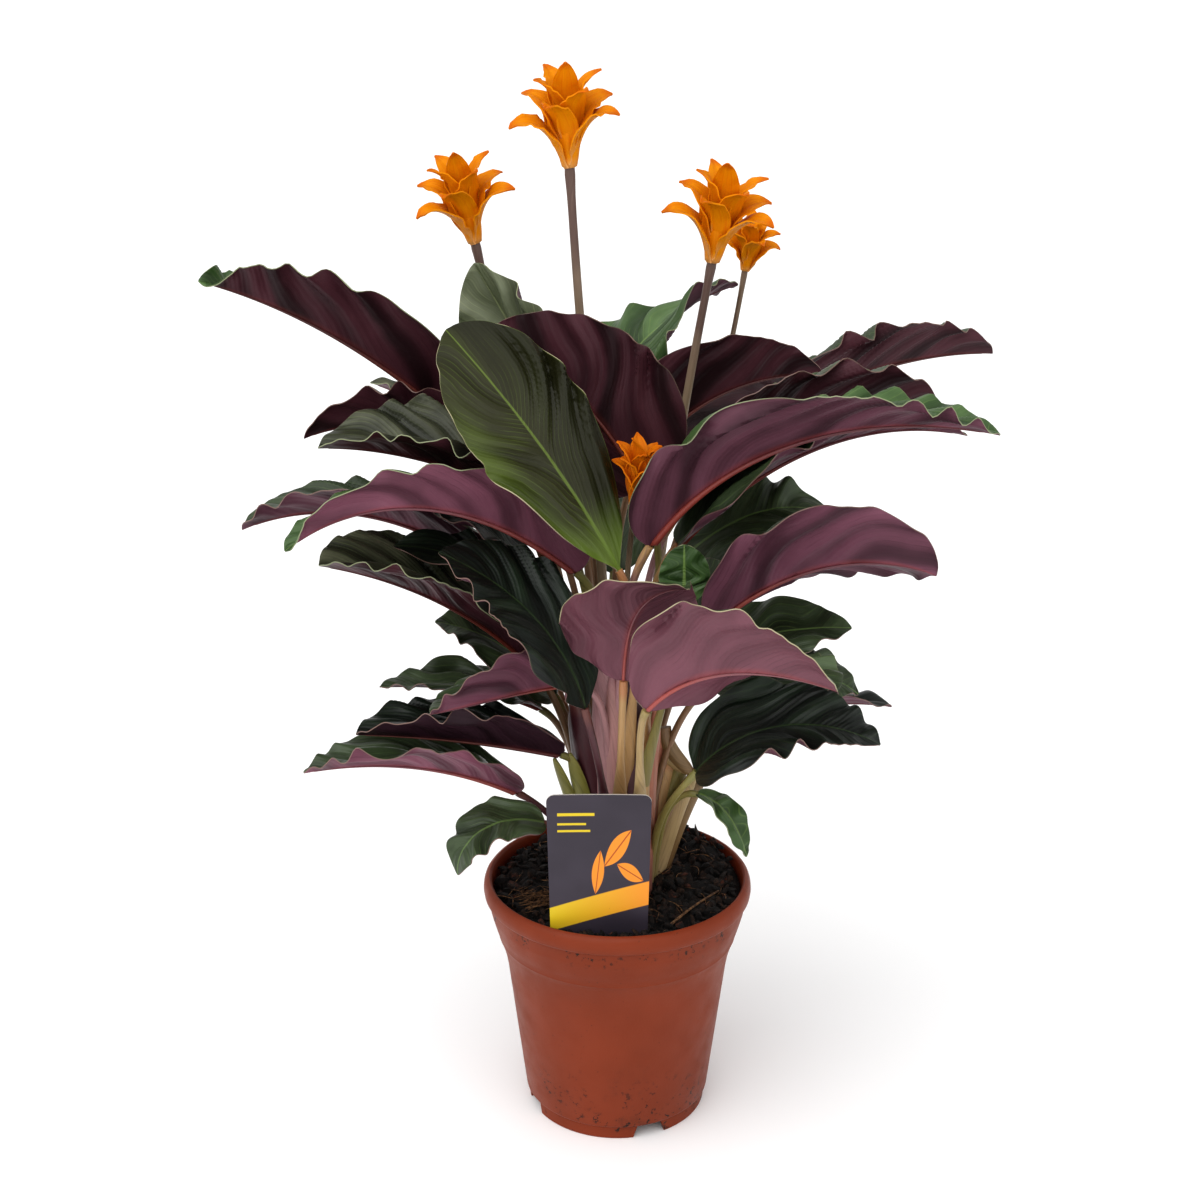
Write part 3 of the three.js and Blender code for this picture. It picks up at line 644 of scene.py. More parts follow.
def toned(tone, times, more=0.0):
    """The same tone, darker or brighter."""
    return tuple(min(1, level * times + more) for level in tone)


def made(make, table, setting=None):
    """A finish for each row of a table, which has its name, its tones and any other values. A tone is
    given by its screen values or by the name of a setting."""
    def tone(value):
        return getattr(setting, value) if isinstance(value, str) else shade(*value)
    return {kind: make(name, *(tone(value) for value in tones), *others)
            for kind, (name, tones, *others) in table.items()}


# ---- leaves --------------------------------------------------------------------------------------

TIP_START, TIP_END = 0.91, 0.99   # where the roll of a turned tip comes in, as shares of the length
RIB_STEPS = 400
USUAL_LENGTH = 90                 # a shorter leaf has lower waves
VEIN_BEND = 0.12                  # how much the side veins bend on to the tip, in waves and cm
FOLD_LOSS = 0.3                   # share of the fold that is lost towards the margin


def leaf_frame(leaf, share):
    """The leaf's forward, left and upward directions at each share of its length."""
    heading = np.radians(along(leaf.heading, share))
    slope = np.radians(along(leaf.rise, share))
    tip = np.clip((share - TIP_START) / (TIP_END - TIP_START), 0, 1)
    roll = np.radians(along(leaf.roll, share) + leaf.tip_turn * tip)[..., None]
    forward = np.stack([np.cos(slope) * np.cos(heading), np.cos(slope) * np.sin(heading), np.sin(slope)], -1)
    side = np.stack([-np.sin(heading), np.cos(heading), np.zeros_like(heading)], -1)
    upper = np.cross(forward, side)
    left = side * np.cos(roll) + upper * np.sin(roll)
    return forward, left, np.cross(forward, left)


def rib_places(leaf, share):
    """Places on the midrib, in mm, found by walking along the leaf in short steps."""
    walk = (np.arange(RIB_STEPS) + 0.5) / RIB_STEPS
    forward, _, _ = leaf_frame(leaf, walk)
    steps = np.cumsum(forward * leaf.length / RIB_STEPS, axis=0)
    line = np.vstack([np.zeros(3), steps]) + leaf.at
    return interpolated(share, np.linspace(0, 1, RIB_STEPS + 1), line)


def half_width(leaf, share):
    widest, power, base = leaf.widest, leaf.power, leaf.base
    full = leaf.width * ((share / widest) ** (power * widest)
                         * ((1 - share) / (1 - widest)) ** (power * (1 - widest)))
    return np.maximum(full, base + (1 - base) * share) / 2


def swing(share, chance, slowest, fastest, shift=0.0):
    """A slow wave along the leaf, from a chance start and at a chance pace."""
    return np.sin(FULL_TURN * (share * chance.uniform(slowest, fastest) + chance.random()) + shift)


def vein_wave(leaf, share, across, chance):
    """Counts the waves of a blade. Crests follow the side veins, which slant and bend to the tip."""
    side_cm = half_width(leaf, share) * np.abs(across) / CM
    vein = leaf.length * share / CM - leaf.slant * side_cm - VEIN_BEND * side_cm ** 2
    drift = 0.34 * swing(share, chance, 0.8, 1.6)
    drift += 0.1 * swing(share, chance, 2.4, 3.2)
    wave_length = leaf.wave * chance.uniform(0.85, 1.2)
    return vein / wave_length + chance.random() + drift + 0.3 * across * chance.uniform(0.5, 1)


def blade_places(leaf, share, across, ripple, pleat, seed):
    """Places in mm on a blade, for shares of its length and of its half width (-1 to 1)."""
    forward, left, face = leaf_frame(leaf, share)
    chance = random.Random(seed)
    side = np.sign(across)
    out = np.abs(across)
    fold = np.radians(leaf.fold * (1 - FOLD_LOSS * out))
    reach = half_width(leaf, share) * out
    wave = vein_wave(leaf, share, across, chance)
    # The waves swell and die down along each margin, and end at both ends of the blade.
    swell = 0.68 + 0.36 * swing(share, chance, 0.7, 1.6, side)
    swell += 0.36 * swing(share, chance, 1.8, 3.2, -1.6 * side)
    open_span = np.sqrt(np.clip(4 * share * (1 - share), 0, 1))
    ripple = ripple * (leaf.wavy or min(1, leaf.length / USUAL_LENGTH))
    lift = ripple * out ** 1.3 * open_span * swell * np.cos(FULL_TURN * wave)
    lift += 0.1 * ripple * out ** 3 * open_span * np.cos(FULL_TURN * (2.3 * wave + chance.random()))
    # The pleats fade at the midrib and at the margin.
    inside = np.clip(out * 4, 0, 1) * np.clip((1 - out) * 4, 0, 1)
    lift += pleat * inside * open_span * np.sin(FULL_TURN * (1.5 * wave + chance.random()))
    fold, reach, lift, side = (value[..., None] for value in (fold, reach, lift, side))
    return (rib_places(leaf, share) + left * side * (reach * np.cos(fold) - lift * np.sin(fold))
            + face * (reach * np.sin(fold) + lift * np.cos(fold))), wave


def blade_grid(name, rows, columns):
    """A flat grid for a blade, with each vertex's share of the length and of the half width."""
    blade = primitive("grid", name, x_subdivisions=rows, y_subdivisions=columns, size=1, calc_uvs=True)
    blade.data.uv_layers[0].name = "share"
    flat = places_of(blade.data)
    return blade, np.clip(flat[:, 0] + 0.5, 0, 1), np.clip(flat[:, 1] * 2, -1, 1)


def vein_pattern():
    """Turns a blade's own two maps into its pleats, fine veins, midrib and margin."""
    veins = Pattern("Vein pattern", (), ("Swell", "Pleat", "Vein", "Fine", "Margin", "Rib", "Side",
                                         "Across", "Along"))
    reach, share = veins.xyz(veins.uv("reach")), veins.xyz(veins.uv("share"))
    vein = veins.calc("MULTIPLY_ADD", veins.noise(0.025, 2), 0.3, reach["X"])
    for label, times in (("Swell", 0.5), ("Pleat", 1), ("Vein", 6), ("Fine", 21)):
        wave = veins.calc("SINE", veins.product(vein, FULL_TURN * times))
        veins.give(**{label: veins.calc("MULTIPLY_ADD", wave, 0.5, 0.5)})
    across = veins.calc("ABSOLUTE", veins.calc("MULTIPLY_ADD", share["Y"], 2, -1))
    rib_width = veins.calc("MULTIPLY_ADD", share["X"], -0.08, 0.12)
    veins.give(Across=across, Side=share["Y"], Along=share["X"], Margin=veins.rise(across, 0.985, 1.0),
               Rib=veins.rise(veins.calc("DIVIDE", reach["Y"], rib_width), 1.15, 0.55))


def upper_face(name, ground, bloom, rib, edge, lines=0.25, pleat_sheen_and_shade=1.0, painted_shade_side=0.0, young=0.0):
    """A leaf's upper face: painted sheen on the ridges of the pleats along the side veins and painted
    shade in their valleys, fine veins and a brighter midrib. A face may have painted shade on one side,
    where a leaf above shades it, and a young one is the midrib's green at its foot and one margin."""
    face = Finish(name, ground, roughness=0.4, Specular_IOR_Level=0.35)
    vein = face.pattern("Vein pattern")
    band = face.calc("MULTIPLY_ADD", vein["Pleat"], 0.5, face.product(vein["Swell"], 0.5))
    # Painted sheen on the pleats' ridges, in patches, and painted shade in their valleys.
    patches = face.rise(face.noise(0.03), 0.3, 0.7)
    face.coat(bloom, face.rise(band, 0.25, 0.9), patches, 0.7 * pleat_sheen_and_shade)
    face.coat(toned(ground, 0.45), face.rise(band, 0.4, 0.05), 0.6 * pleat_sheen_and_shade)
    fading = face.rise(face.noise(0.018, 2), 0.35, 0.65)
    face.coat(rib, face.rise(vein["Vein"], 0.9, 1.0), fading, lines)
    face.coat(bloom, vein["Fine"], 0.07)
    # Painted shade over one half of the blade, as where a leaf above shades it.
    face.coat(toned(ground, 0.5), face.rise(vein["Side"], 0.6, 0.1), painted_shade_side)
    face.coat(rib, vein["Rib"], 0.55)
    face.coat(rib, face.rise(vein["Side"], 0.72, 1.0), face.rise(vein["Along"], 0.9, 0.5), 0.6 * young)
    face.coat(rib, face.rise(vein["Along"], 0.28, 0.02), young)
    face.coat(edge, vein["Margin"], 0.3)
    return veined(face, vein)


def lower_face(name, ground, rib, edge, depth=0.42, lines=0.2):
    """A leaf's lower face: purple, with painted shade in the valleys between the side veins and
    painted sheen on the pleats' crests.
    """
    # The face starts darkened by depth, as painted shade; the pleats' crests get the full tone and then a
    # paler painted sheen.
    dark = toned(ground, depth)
    face = Finish(name, dark, roughness=0.46, Specular_IOR_Level=0.22)
    vein = face.pattern("Vein pattern")
    band = face.calc("MULTIPLY_ADD", vein["Pleat"], 0.55, face.product(vein["Swell"], 0.45))
    patches = face.noise(0.04)
    face.coat(ground, face.rise(face.calc("ADD", band, patches), 0.55, 1.25))
    painted_sheen = face.product(face.rise(band, 0.6, 1.0), face.rise(patches, 0.35, 0.7))
    face.coat(toned(ground, 1.45, 0.006), painted_sheen, 1 - depth)
    fading = face.rise(face.noise(0.022, 2), 0.45, 0.65)
    face.coat(toned(ground, 0.35), face.rise(vein["Vein"], 0.88, 0.99), fading, lines)
    face.coat(dark, vein["Fine"], 0.1)
    face.coat(rib, face.rise(vein["Across"], 0.1, 0.0), 0.3)
    face.coat(edge, vein["Margin"], 0.25)
    return veined(face, vein)


def veined(face, vein):
    """Gives both kinds of face their relief: the skin, fine veins, side veins and pleats."""
    return face.done((face.noise(0.0012, 2), 0.0002, 0.2), (vein["Fine"], 0.0001, 0.2),
                     (vein["Vein"], 0.0003, 0.35), (vein["Pleat"], 0.0008, 0.5))


def plain_flesh(name, base, tip):
    """A fleshy rib or margin, blotched and fading to its tip."""
    flesh = Finish(name, base, roughness=0.45)
    flesh.coat(tip, flesh.rise(flesh.xyz(flesh.uv("share"))["X"], 0.15, 0.6))
    flesh.coat(toned(base, 0.55), flesh.noise(0.006), 0.5)
    return flesh.done((flesh.noise(0.0015, 2), 0.0002, 0.4))


class AddLeaves(bpy.types.Operator):
    """Grow every leaf blade, with its ripples, pleats, margin and midrib"""
    bl_idname = "calathea.add_leaves"
    bl_label = "Leaves"

    ROWS, COLUMNS = 92, 40
    EVENNESS = 0.55              # the rest of the rows' spacing brings them closer at both ends
    RIB_ROWS, RIB_SIDES = 48, 8
    RIB_END = 0.97
    RIB_LENGTH, RIB_LEAST = 130, 0.2   # length of leaf that the full radius is for, and least radius
    # For each kind: name, tones (see the functions above) and how strong its lines and its painted
    # light and shade on the pleats are. The deep kinds are darker copies, painted shade for leaves deep
    # in the plant, and the pale kind is a lighter copy, painted sheen.
    UPPER = {
        "waxy": ("waxy upper face", ((40, 43, 29), (112, 115, 92), (128, 142, 90), "edge")),
        "pale": ("pale upper face", ((88, 94, 70), (140, 146, 122), (150, 158, 116), "edge")),
        "fresh": ("fresh upper face", ((54, 78, 40), (104, 132, 82), (130, 156, 86), "edge")),
        "usual": ("leaf upper face", ("top", "top_pale", (112, 138, 78), "edge")),
        "bright": ("young leaf upper face", ("bright", (72, 82, 36), (114, 136, 56), (140, 156, 84)),
                   0.24, 0.5, 0.85, 0.7),
        "deep": ("shaded leaf upper face", ((14, 20, 16), (44, 58, 42), (60, 80, 46), (110, 108, 84))),
    }
    UNDER = {
        "maroon": ("leaf lower face", ("under", "rib", "edge")),
        "dusk": ("dark lower face", ((74, 40, 48), (120, 54, 46), "edge"), 0.3),
        "plum": ("plum lower face", ((108, 67, 82), "rib", "edge"), 0.4, 0.34),
        "mauve": ("mauve lower face", ((126, 80, 96), "rib", "edge"), 0.5, 0.3),
        "pink": ("young leaf lower face", ("under_pink", "rib", "edge"), 0.78, 0.34),
        "deep": ("shaded lower face", ((54, 32, 42), (110, 50, 50), (130, 116, 96)), 0.55),
    }
    MARGINS = {
        "dark": ("dark leaf margin", ((112, 82, 80), (124, 98, 88))),
        "green": ("green leaf margin", ((128, 136, 104), (140, 146, 112))),
        "pale": ("pale leaf margin", ((176, 166, 138), (168, 160, 128))),
    }
    RIBS = {
        "maroon": ("leaf midrib", ((146, 66, 56), (92, 54, 62))),
        "dusk": ("dark leaf midrib", ((124, 58, 46), (74, 42, 44))),
        "mauve": ("mauve leaf midrib", ((150, 76, 70), (118, 76, 86))),
        "plum": ("plum leaf midrib", ((146, 72, 62), (98, 62, 74))),
        "pink": ("young leaf midrib", ((164, 82, 76), (132, 90, 98))),
        "deep": ("shaded leaf midrib", ((96, 44, 44), (120, 70, 60))),
    }

    def execute(self, context):
        setting = context.scene.calathea_leaves
        vein_pattern()
        self.upper = made(upper_face, self.UPPER, setting)
        self.under = made(lower_face, self.UNDER, setting)
        self.margins = made(plain_flesh, self.MARGINS)
        self.ribs = made(plain_flesh, self.RIBS)
        for name, leaf in LEAVES.items():
            self.add_leaf(name, leaf, setting)
        return {"FINISHED"}

    def add_leaf(self, name, leaf, setting):
        blade, share, across = blade_grid(name + ".blade", self.ROWS, self.COLUMNS)
        share = self.EVENNESS * share + (1 - self.EVENNESS) * (0.5 - 0.5 * np.cos(math.pi * share))
        places, wave = blade_places(leaf, share, across, setting.ripple / MM, setting.pleat / MM, name)
        move_to(blade.data, MM * places)
        write_uv(blade.data, "share", share, across / 2 + 0.5)
        write_uv(blade.data, "reach", wave, half_width(leaf, share) * np.abs(across) / CM)
        for material in (self.upper[leaf.upper], self.under[leaf.under], self.margin_of(leaf),
                         self.ribs[leaf.under]):
            blade.data.materials.append(material)
        apply_modifier(blade, "SOLIDIFY", thickness=setting.thickness, offset=0,
                       material_offset=1, material_offset_rim=2)
        rib = self.add_midrib(name, leaf, setting)
        finish_piece([blade, rib], name.removeprefix("leaf_") + "_leaf", [name])

    def add_midrib(self, name, leaf, setting):
        share = np.linspace(0, self.RIB_END, self.RIB_ROWS)
        forward, left, face = leaf_frame(leaf, share)
        radius = setting.midrib / MM * (1 - share) ** 1.1 * leaf.length / self.RIB_LENGTH + self.RIB_LEAST
        radius *= np.clip(np.minimum(share, self.RIB_END - share) * 60, 0, 1)
        middle = rib_places(leaf, share) - face * (radius[:, None] * 0.85)
        rib = tube(name + ".rib", middle, left, face, radius, radius * 0.95, self.RIB_SIDES)
        rib.data.materials.append(self.ribs[leaf.under])
        return rib

    def margin_of(self, leaf):
        """The young leaves have the palest margin, the others one after the face that shows most."""
        if leaf.under == "pink" or leaf.upper == "bright":
            return self.margins["pale"]
        return self.margins["green" if leaf.upper in ("waxy", "fresh", "pale") else "dark"]


# ---- stalks --------------------------------------------------------------------------------------

INTO_BLADE, INTO_HEAD = 0.8, 4              # how far, in mm, the stalks run on into what they carry
LOW_FOOT_OUT, HIGH_FOOT_OUT = 0.85, 0.45    # how far out in the clump low and high leaves' stalks start
UPRIGHT, SCAPE_UPRIGHT = 0.45, 0.35         # how far leaf and flower stalks keep straight, by their reach


def petiole_route(leaf, share):
    """A leaf stalk: straight up out of the clump, then over into the leaf's own direction."""
    forward = leaf_frame(leaf, np.array([0.0]))[0][0]
    end = np.array(leaf.at) + forward * INTO_BLADE
    tallness = (end[2] - SOIL_TOP) / (TALLEST_LEAF - SOIL_TOP)
    from_middle = CLUMP_RADIUS * along((LOW_FOOT_OUT, HIGH_FOOT_OUT), tallness)
    foot = np.array([*(leaf.stalk_foot or unit(end[:2]) * from_middle), STALK_FOOT])
    reach = np.linalg.norm(end - foot)
    ease = forward * leaf.stalk_ease * reach
    return bezier((foot, foot + [0, 0, UPRIGHT * reach], end - ease, end), share)


def scape_route(bloom, share):
    """A flower stalk, up out of the clump and into the flower head's own direction."""
    axis = bloom_axis(bloom)
    end = np.array(bloom.at) + axis * INTO_HEAD
    foot = np.array([*bloom.foot, STALK_FOOT])
    straight = SCAPE_UPRIGHT * np.linalg.norm(end - foot)
    return bezier((foot, foot + [0, 0, straight], end - axis * straight, end), share)


def stalk_pattern():
    """The fine ribs, streaks and blotches that run along every stalk."""
    stalk = Pattern("Stalk pattern", ("Streaks",), ("Height", "Fibres", "Dark", "Pale"))
    wander = stalk.calc("MULTIPLY_ADD", stalk.noise(0.03, 2), 0.2, stalk.xyz(stalk.uv("share"))["X"])
    fibres = stalk.streaks("reach", (0.35, 9.0, 1.0))
    stalk.give(Height=stalk.calc("SUBTRACT", wander, 0.1), Fibres=fibres,
               Dark=stalk.product(stalk.rise(fibres, 0.45, 0.75), stalk.given["Streaks"]),
               Pale=stalk.rise(fibres, 0.4, 0.2))


def stalk_skin(name, foot, middle, top, streaks=0.5, top_from=0.84):
    """A stalk's skin: three tones from the soil up, with fine ribs and blotches along it."""
    skin = Finish(name, middle, roughness=0.46, Coat_Weight=0.1, Coat_Roughness=0.4)
    stalk = skin.pattern("Stalk pattern", Streaks=streaks)
    skin.tone = skin.ramp(stalk["Height"], ((0.15, foot), (0.4, middle), (top_from, middle),
                                            (0.5 + top_from / 2, top)))
    skin.coat(toned(middle, 0.5), stalk["Dark"])
    skin.coat(toned(middle, 1.6, 0.02), stalk["Pale"], 0.35)
    return skin.done((stalk["Fibres"], 0.0004, 0.6))


class AddStalks(bpy.types.Operator):
    """Raise the leaf stalks with their sheaths, the dried sheaths and the flower stalks"""
    bl_idname = "calathea.add_stalks"
    bl_label = "Stalks"

    ROWS = 40
    SHEATH_ROWS, SHEATH_BEND = 28, 0.045
    SIDES = 12
    FULL_HEIGHT = 130                    # a leaf that starts this far above the soil has a full stalk
    THIN_BELOW, THIN_SHARE = 0.8, 0.68   # heads below the first size have stalks thinned to the second
    GREEN = (120, 116, 64)
    # For each kind: name, then the tones at the soil, up the stalk and at its top, then its streaks
    # and where the top's tone starts.
    SKINS = {
        "usual": ("leaf stalk", ((112, 72, 66), (136, 104, 76), GREEN)),
        "mauve": ("mauve leaf stalk", ((142, 104, 106), "mauve", "tan")),
        "pink": ("pink leaf stalk", ((166, 124, 118), (176, 132, 128), (150, 104, 112))),
        "pale": ("pale leaf stalk", ((186, 160, 122), (172, 148, 106), (150, 132, 84))),
        "maroon": ("maroon leaf stalk", ((46, 24, 28), "maroon", (98, 56, 50))),
        "tan": ("tan leaf stalk", ((150, 116, 92), "tan", (178, 124, 84))),
        "olive": ("green leaf stalk", ((150, 132, 92), "olive", GREEN)),
        "red": ("red leaf stalk", ((134, 88, 76), "red", (170, 110, 76))),
        "lime": ("lime leaf stalk", ((150, 134, 96), (126, 122, 58), (138, 132, 70)), 0.7),
        "grey": ("grey leaf stalk", ((44, 30, 36), (100, 74, 78), "mauve")),
        "scape": ("flower stalk", ((152, 130, 106), (148, 128, 104), (92, 68, 60)), 0.3, 0.74),
        "thin": ("thin flower stalk", ((138, 118, 96), (142, 124, 100), (118, 96, 78)), 0.3),
        "dry": ("dried sheath", ((124, 94, 62), (132, 106, 70), (104, 84, 56)), 0.7),
    }

    def execute(self, context):
        setting = context.scene.calathea_stalks
        stalk_pattern()
        self.skins = made(stalk_skin, self.SKINS, setting)
        share = stalk_shares(self.ROWS)
        sheath_share = stalk_shares(self.SHEATH_ROWS)
        leaf_stalks = [self.petiole(name, leaf, setting, share) for name, leaf in LEAVES.items()]
        finish_piece(leaf_stalks, "leaf_stalks", ["stalk_clump"])
        flower_stalks = [self.scape(name, bloom, setting, share) for name, bloom in BLOOMS.items()]
        finish_piece(flower_stalks, "flower_stalks", ["stalk_clump"])
        sheaths = [self.sheath(f"sheath_{number}", sheath, sheath_share)
                   for number, sheath in enumerate(SHEATHS)]
        finish_piece(sheaths, "sheaths", ["stalk_clump"])
        return {"FINISHED"}

    def stalk(self, name, route, out, wide, deep, skin):
        side, up = tube_sides(route, out)
        stalk = tube(name, route, side, up, closed(wide), closed(deep), self.SIDES)
        stalk.data.materials.append(self.skins[skin])
        return stalk

    def petiole(self, name, leaf, setting, share):
        foot, top = setting.petiole_foot / MM, setting.petiole_top / MM
        route = petiole_route(leaf, share)
        height = min(1.0, (leaf.at[2] - SOIL_TOP) / self.FULL_HEIGHT)
        # The sheath narrows into the round stalk, which has a swollen knee under the blade.
        sheath = 1 - np.clip((share - 0.3) / 0.3, 0, 1)
        sheath = sheath * sheath * (3 - 2 * sheath)
        knee = 1 + 0.18 * np.exp(-((share - 0.95) / 0.05) ** 2)
        thin = top * (0.8 + 0.2 * height)
        wide = (thin + (foot * (0.6 + 0.4 * height) - thin) * sheath) * knee
        deep = thin * (1 + 0.15 * sheath) * knee
        return self.stalk(name + ".stalk", route, unit(np.array([*route[0, :2], 0.01])), wide, deep,
                          leaf.stalk)

    def scape(self, name, bloom, setting, share):
        foot, top = setting.scape_foot / MM, setting.scape_top / MM
        flare = 1 + 0.3 * np.exp(-((share - 0.985) / 0.02) ** 2)
        radius = (foot + (top - foot) * share) * flare
        thin = bloom.size < self.THIN_BELOW
        if thin:
            radius *= self.THIN_SHARE
        return self.stalk(name + ".stalk", scape_route(bloom, share), np.array([0.05, -1, 0]),
                          radius, radius, "thin" if thin else "scape")

    def sheath(self, name, sheath, share):
        foot = np.array((*sheath.foot, STALK_FOOT)[:3])
        lean = np.array([*sheath.lean, 0])
        end = foot + lean + [0, 0, sheath.height]
        route = bezier((foot, foot + lean * sheath.splay + [0, 0, 0.4 * sheath.height],
                        end - lean * 0.5 - [0, 0, 0.3 * sheath.height], end), share)
        out = unit(np.array([*(sheath.face or foot[:2]), 0.01]))
        wide = sheath.wide * (0.9 + 0.1 * np.sin(math.pi * share)) * (1 - share ** 9) ** 0.7 + 0.3
        hollow = (np.abs(share - 0.5) * 2) ** 2
        piece = self.stalk(name, route, out, wide, 1.7 - 0.6 * share - 0.1 * hollow, sheath.skin)
        # Both edges bend in, so that the sheath clasps what is behind it.
        places = places_of(piece.data) / MM
        station = np.clip((places[:, 2] - foot[2]) / sheath.height, 0, 1)
        off_middle = np.linalg.norm((places - interpolated(station, share, route))[:, :2], axis=1)
        places -= out * (self.SHEATH_BEND * off_middle ** 2)[:, None]
        move_to(piece.data, places * MM)
        return piece


# ---- flower heads --------------------------------------------------------------------------------

def bloom_axis(bloom):
    lean, towards = math.radians(bloom.lean), math.radians(bloom.towards)
    return np.array([math.sin(lean) * math.cos(towards), math.sin(lean) * math.sin(towards), math.cos(lean)])


def bract_skin(name, orange, streak, foot):
    """Waxy orange bracts, pale beige at the foot, veined and a little darker at the tip."""
    skin = Finish(name, orange, roughness=0.55, Specular_IOR_Level=0.12)
    veins = skin.streaks("share", (1.6, 16.0, 1.0))
    height = skin.calc("MULTIPLY_ADD", skin.noise(0.006, 2), 0.12, skin.xyz(skin.uv("share"))["X"])
    skin.tone = skin.ramp(height, ((0.06, foot), (0.34, orange), (0.9, orange), (1.03, shade(200, 104, 6))))
    skin.coat(streak, skin.rise(veins, 0.48, 0.7), 0.55)
    skin.coat(shade(246, 176, 30), skin.rise(veins, 0.42, 0.25), 0.3)
    return skin.done((veins, 0.0004, 0.6))


class AddBlooms(bpy.types.Operator):
    """Build the flower heads out of spiralling orange bracts"""
    bl_idname = "calathea.add_blooms"
    bl_label = "Flower heads"

    ROWS, COLUMNS = 20, 8
    RIPPLE = 2.2
    CORE_LENGTH, CORE_ROWS, CORE_SIDES = 24, 14, 12
    # The topmost bract's slope at its start, middle and end, then the height, length and width of the
    # lowest and the topmost bract, and the radius of the ring that all start from.
    TOP_SPREAD = (84, 74, 34)
    STARTS, LENGTHS, WIDTHS = (1, 18), (38, 35), (18, 14)
    RING = 2.4

    def execute(self, context):
        setting = context.scene.calathea_blooms
        skin = bract_skin("bract", setting.orange, setting.streak, setting.foot)
        # The low head's bracts are a darker copy: painted shade, as it sits low among the leaves.
        young = bract_skin("young bract", shade(208, 118, 8), shade(184, 84, 10), shade(220, 150, 40))
        for name, bloom in BLOOMS.items():
            self.add_head(name, bloom, setting, young if name == "bloom_low" else skin)
        return {"FINISHED"}

    def bract(self, index, last, chance, bloom):
        """One bract before the head is leaned and put in place: a leaf with its own proportions."""
        share = index / last
        turn = math.degrees(index * GOLDEN_ANGLE) + chance.uniform(-8, 8)
        start = self.RING * np.array([math.cos(math.radians(turn)), math.sin(math.radians(turn))])
        rise = tuple(along(ends, share) + chance.uniform(-3, 3)
                     for ends in zip(bloom.spread, self.TOP_SPREAD))
        heading = (turn, turn + chance.uniform(-6, 6))
        roll = (0, chance.uniform(-10, 10) + 30 * math.cos(math.radians(turn + bloom.turn)))
        height, length, width = (along(ends, share) for ends in (self.STARTS, self.LENGTHS, self.WIDTHS))
        return Leaf((*start, height), heading, rise, length, width, fold=24, roll=roll,
                    widest=0.46, base=8, power=1.7, wave=1.5)

    def add_head(self, name, bloom, setting, skin):
        chance = random.Random(name)
        at, axis = np.array(bloom.at), bloom_axis(bloom)
        lean = Vector((0, 0, 1)).rotation_difference(Vector(axis)).to_matrix()
        turn = np.array(lean @ Matrix.Rotation(math.radians(bloom.turn), 3, "Z"))
        parts = []
        for index in range(setting.bracts):
            piece, share, across = blade_grid(f"{name}.bract_{index}", self.ROWS, self.COLUMNS)
            bract = self.bract(index, setting.bracts - 1, chance, bloom)
            places, _ = blade_places(bract, share, across, self.RIPPLE, 0, name + str(index))
            move_to(piece.data, MM * (at + bloom.size * places @ turn.T))
            piece.data.materials.append(skin)
            apply_modifier(piece, "SOLIDIFY", thickness=setting.bract_thickness, offset=0)
            parts.append(piece)
        share = np.linspace(0, 1, self.CORE_ROWS)
        route = at + (share * self.CORE_LENGTH * bloom.size)[:, None] * axis
        radius = closed(bloom.size * (3.2 + 2.4 * np.sin(math.pi * share * 0.8)))
        side, up = tube_sides(route, np.array([0.05, -1, 0]))
        core = tube(name + ".core", route, side, up, radius, radius, self.CORE_SIDES)
        core.data.materials.append(skin)
        finish_piece([*parts, core], name.removeprefix("bloom_") + "_flower_head", [name])


# ---- soil ----------------------------------------------------------------------------------------

SOIL_HEAPS = ((36, 42, 30, 6.5), (0, 0, 26, 3))   # at the back right and round the stalks


def extrude_up(millimetres):
    bpy.ops.mesh.extrude_region_move(TRANSFORM_OT_translate={"value": (0, 0, millimetres * MM)})


def close_with_pole():
    """Closes the selected ring with a fan of triangles."""
    bpy.ops.mesh.edge_face_add()
    bpy.ops.mesh.poke()


def turned(name, profile, sides, pole_first=False):
    """Turns a profile of (radius, height) in mm on the pot's axis, by extruding and scaling a ring.
    Its end, and its start if asked, is closed with a pole."""
    radius, height = profile[0]
    obj = primitive("circle", name, vertices=sides, radius=radius * MM, location=(0, 0, height * MM))
    in_edit_mode(obj)
    if pole_first:
        close_with_pole()
        bpy.ops.mesh.select_all(action="DESELECT")
        bpy.ops.mesh.select_non_manifold()
    for radius_next, height_next in profile[1:]:
        extrude_up(height_next - height)
        grow = radius_next / radius
        bpy.ops.transform.resize(value=(grow, grow, 1), center_override=(0, 0, height_next * MM))
        radius, height = radius_next, height_next
    close_with_pole()
    point_outwards()
    return obj


def bark_pattern():
    """Lumps of the given size, and crumbs a quarter as big."""
    bark = Pattern("Bark pattern", ("Size",), ("Lumps", "Crumbs"))
    bark.give(Lumps=bark.noise(bark.given["Size"], 5, 0.65),
              Crumbs=bark.noise(bark.product(bark.given["Size"], 0.25), 4, 0.7))


def rough_bark(name, base, pale, dark, size=0.003, roughness=0.85):
    """Wet, crumbly stuff: broken up at two scales, with paler flecks."""
    stuff = Finish(name, dark, roughness)
    bark = stuff.pattern("Bark pattern", Size=size)
    stuff.coat(base, stuff.rise(bark["Lumps"], 0.4, 0.65))
    stuff.coat(pale, stuff.rise(bark["Crumbs"], 0.58, 0.75), 0.8)
    return stuff.done((bark["Lumps"], size * 0.5, 0.8), (bark["Crumbs"], size * 0.2, 0.9))


def soil_height(x, y):
    """Height in mm of the soil's surface, which slopes a little and is heaped up in places."""
    height = SOIL_TOP + 1 + 0.012 * x + 0.03 * y
    for middle_x, middle_y, width, rise in SOIL_HEAPS:
        height = height + rise * np.exp(-((x - middle_x) ** 2 + (y - middle_y) ** 2) / width ** 2)
    return height


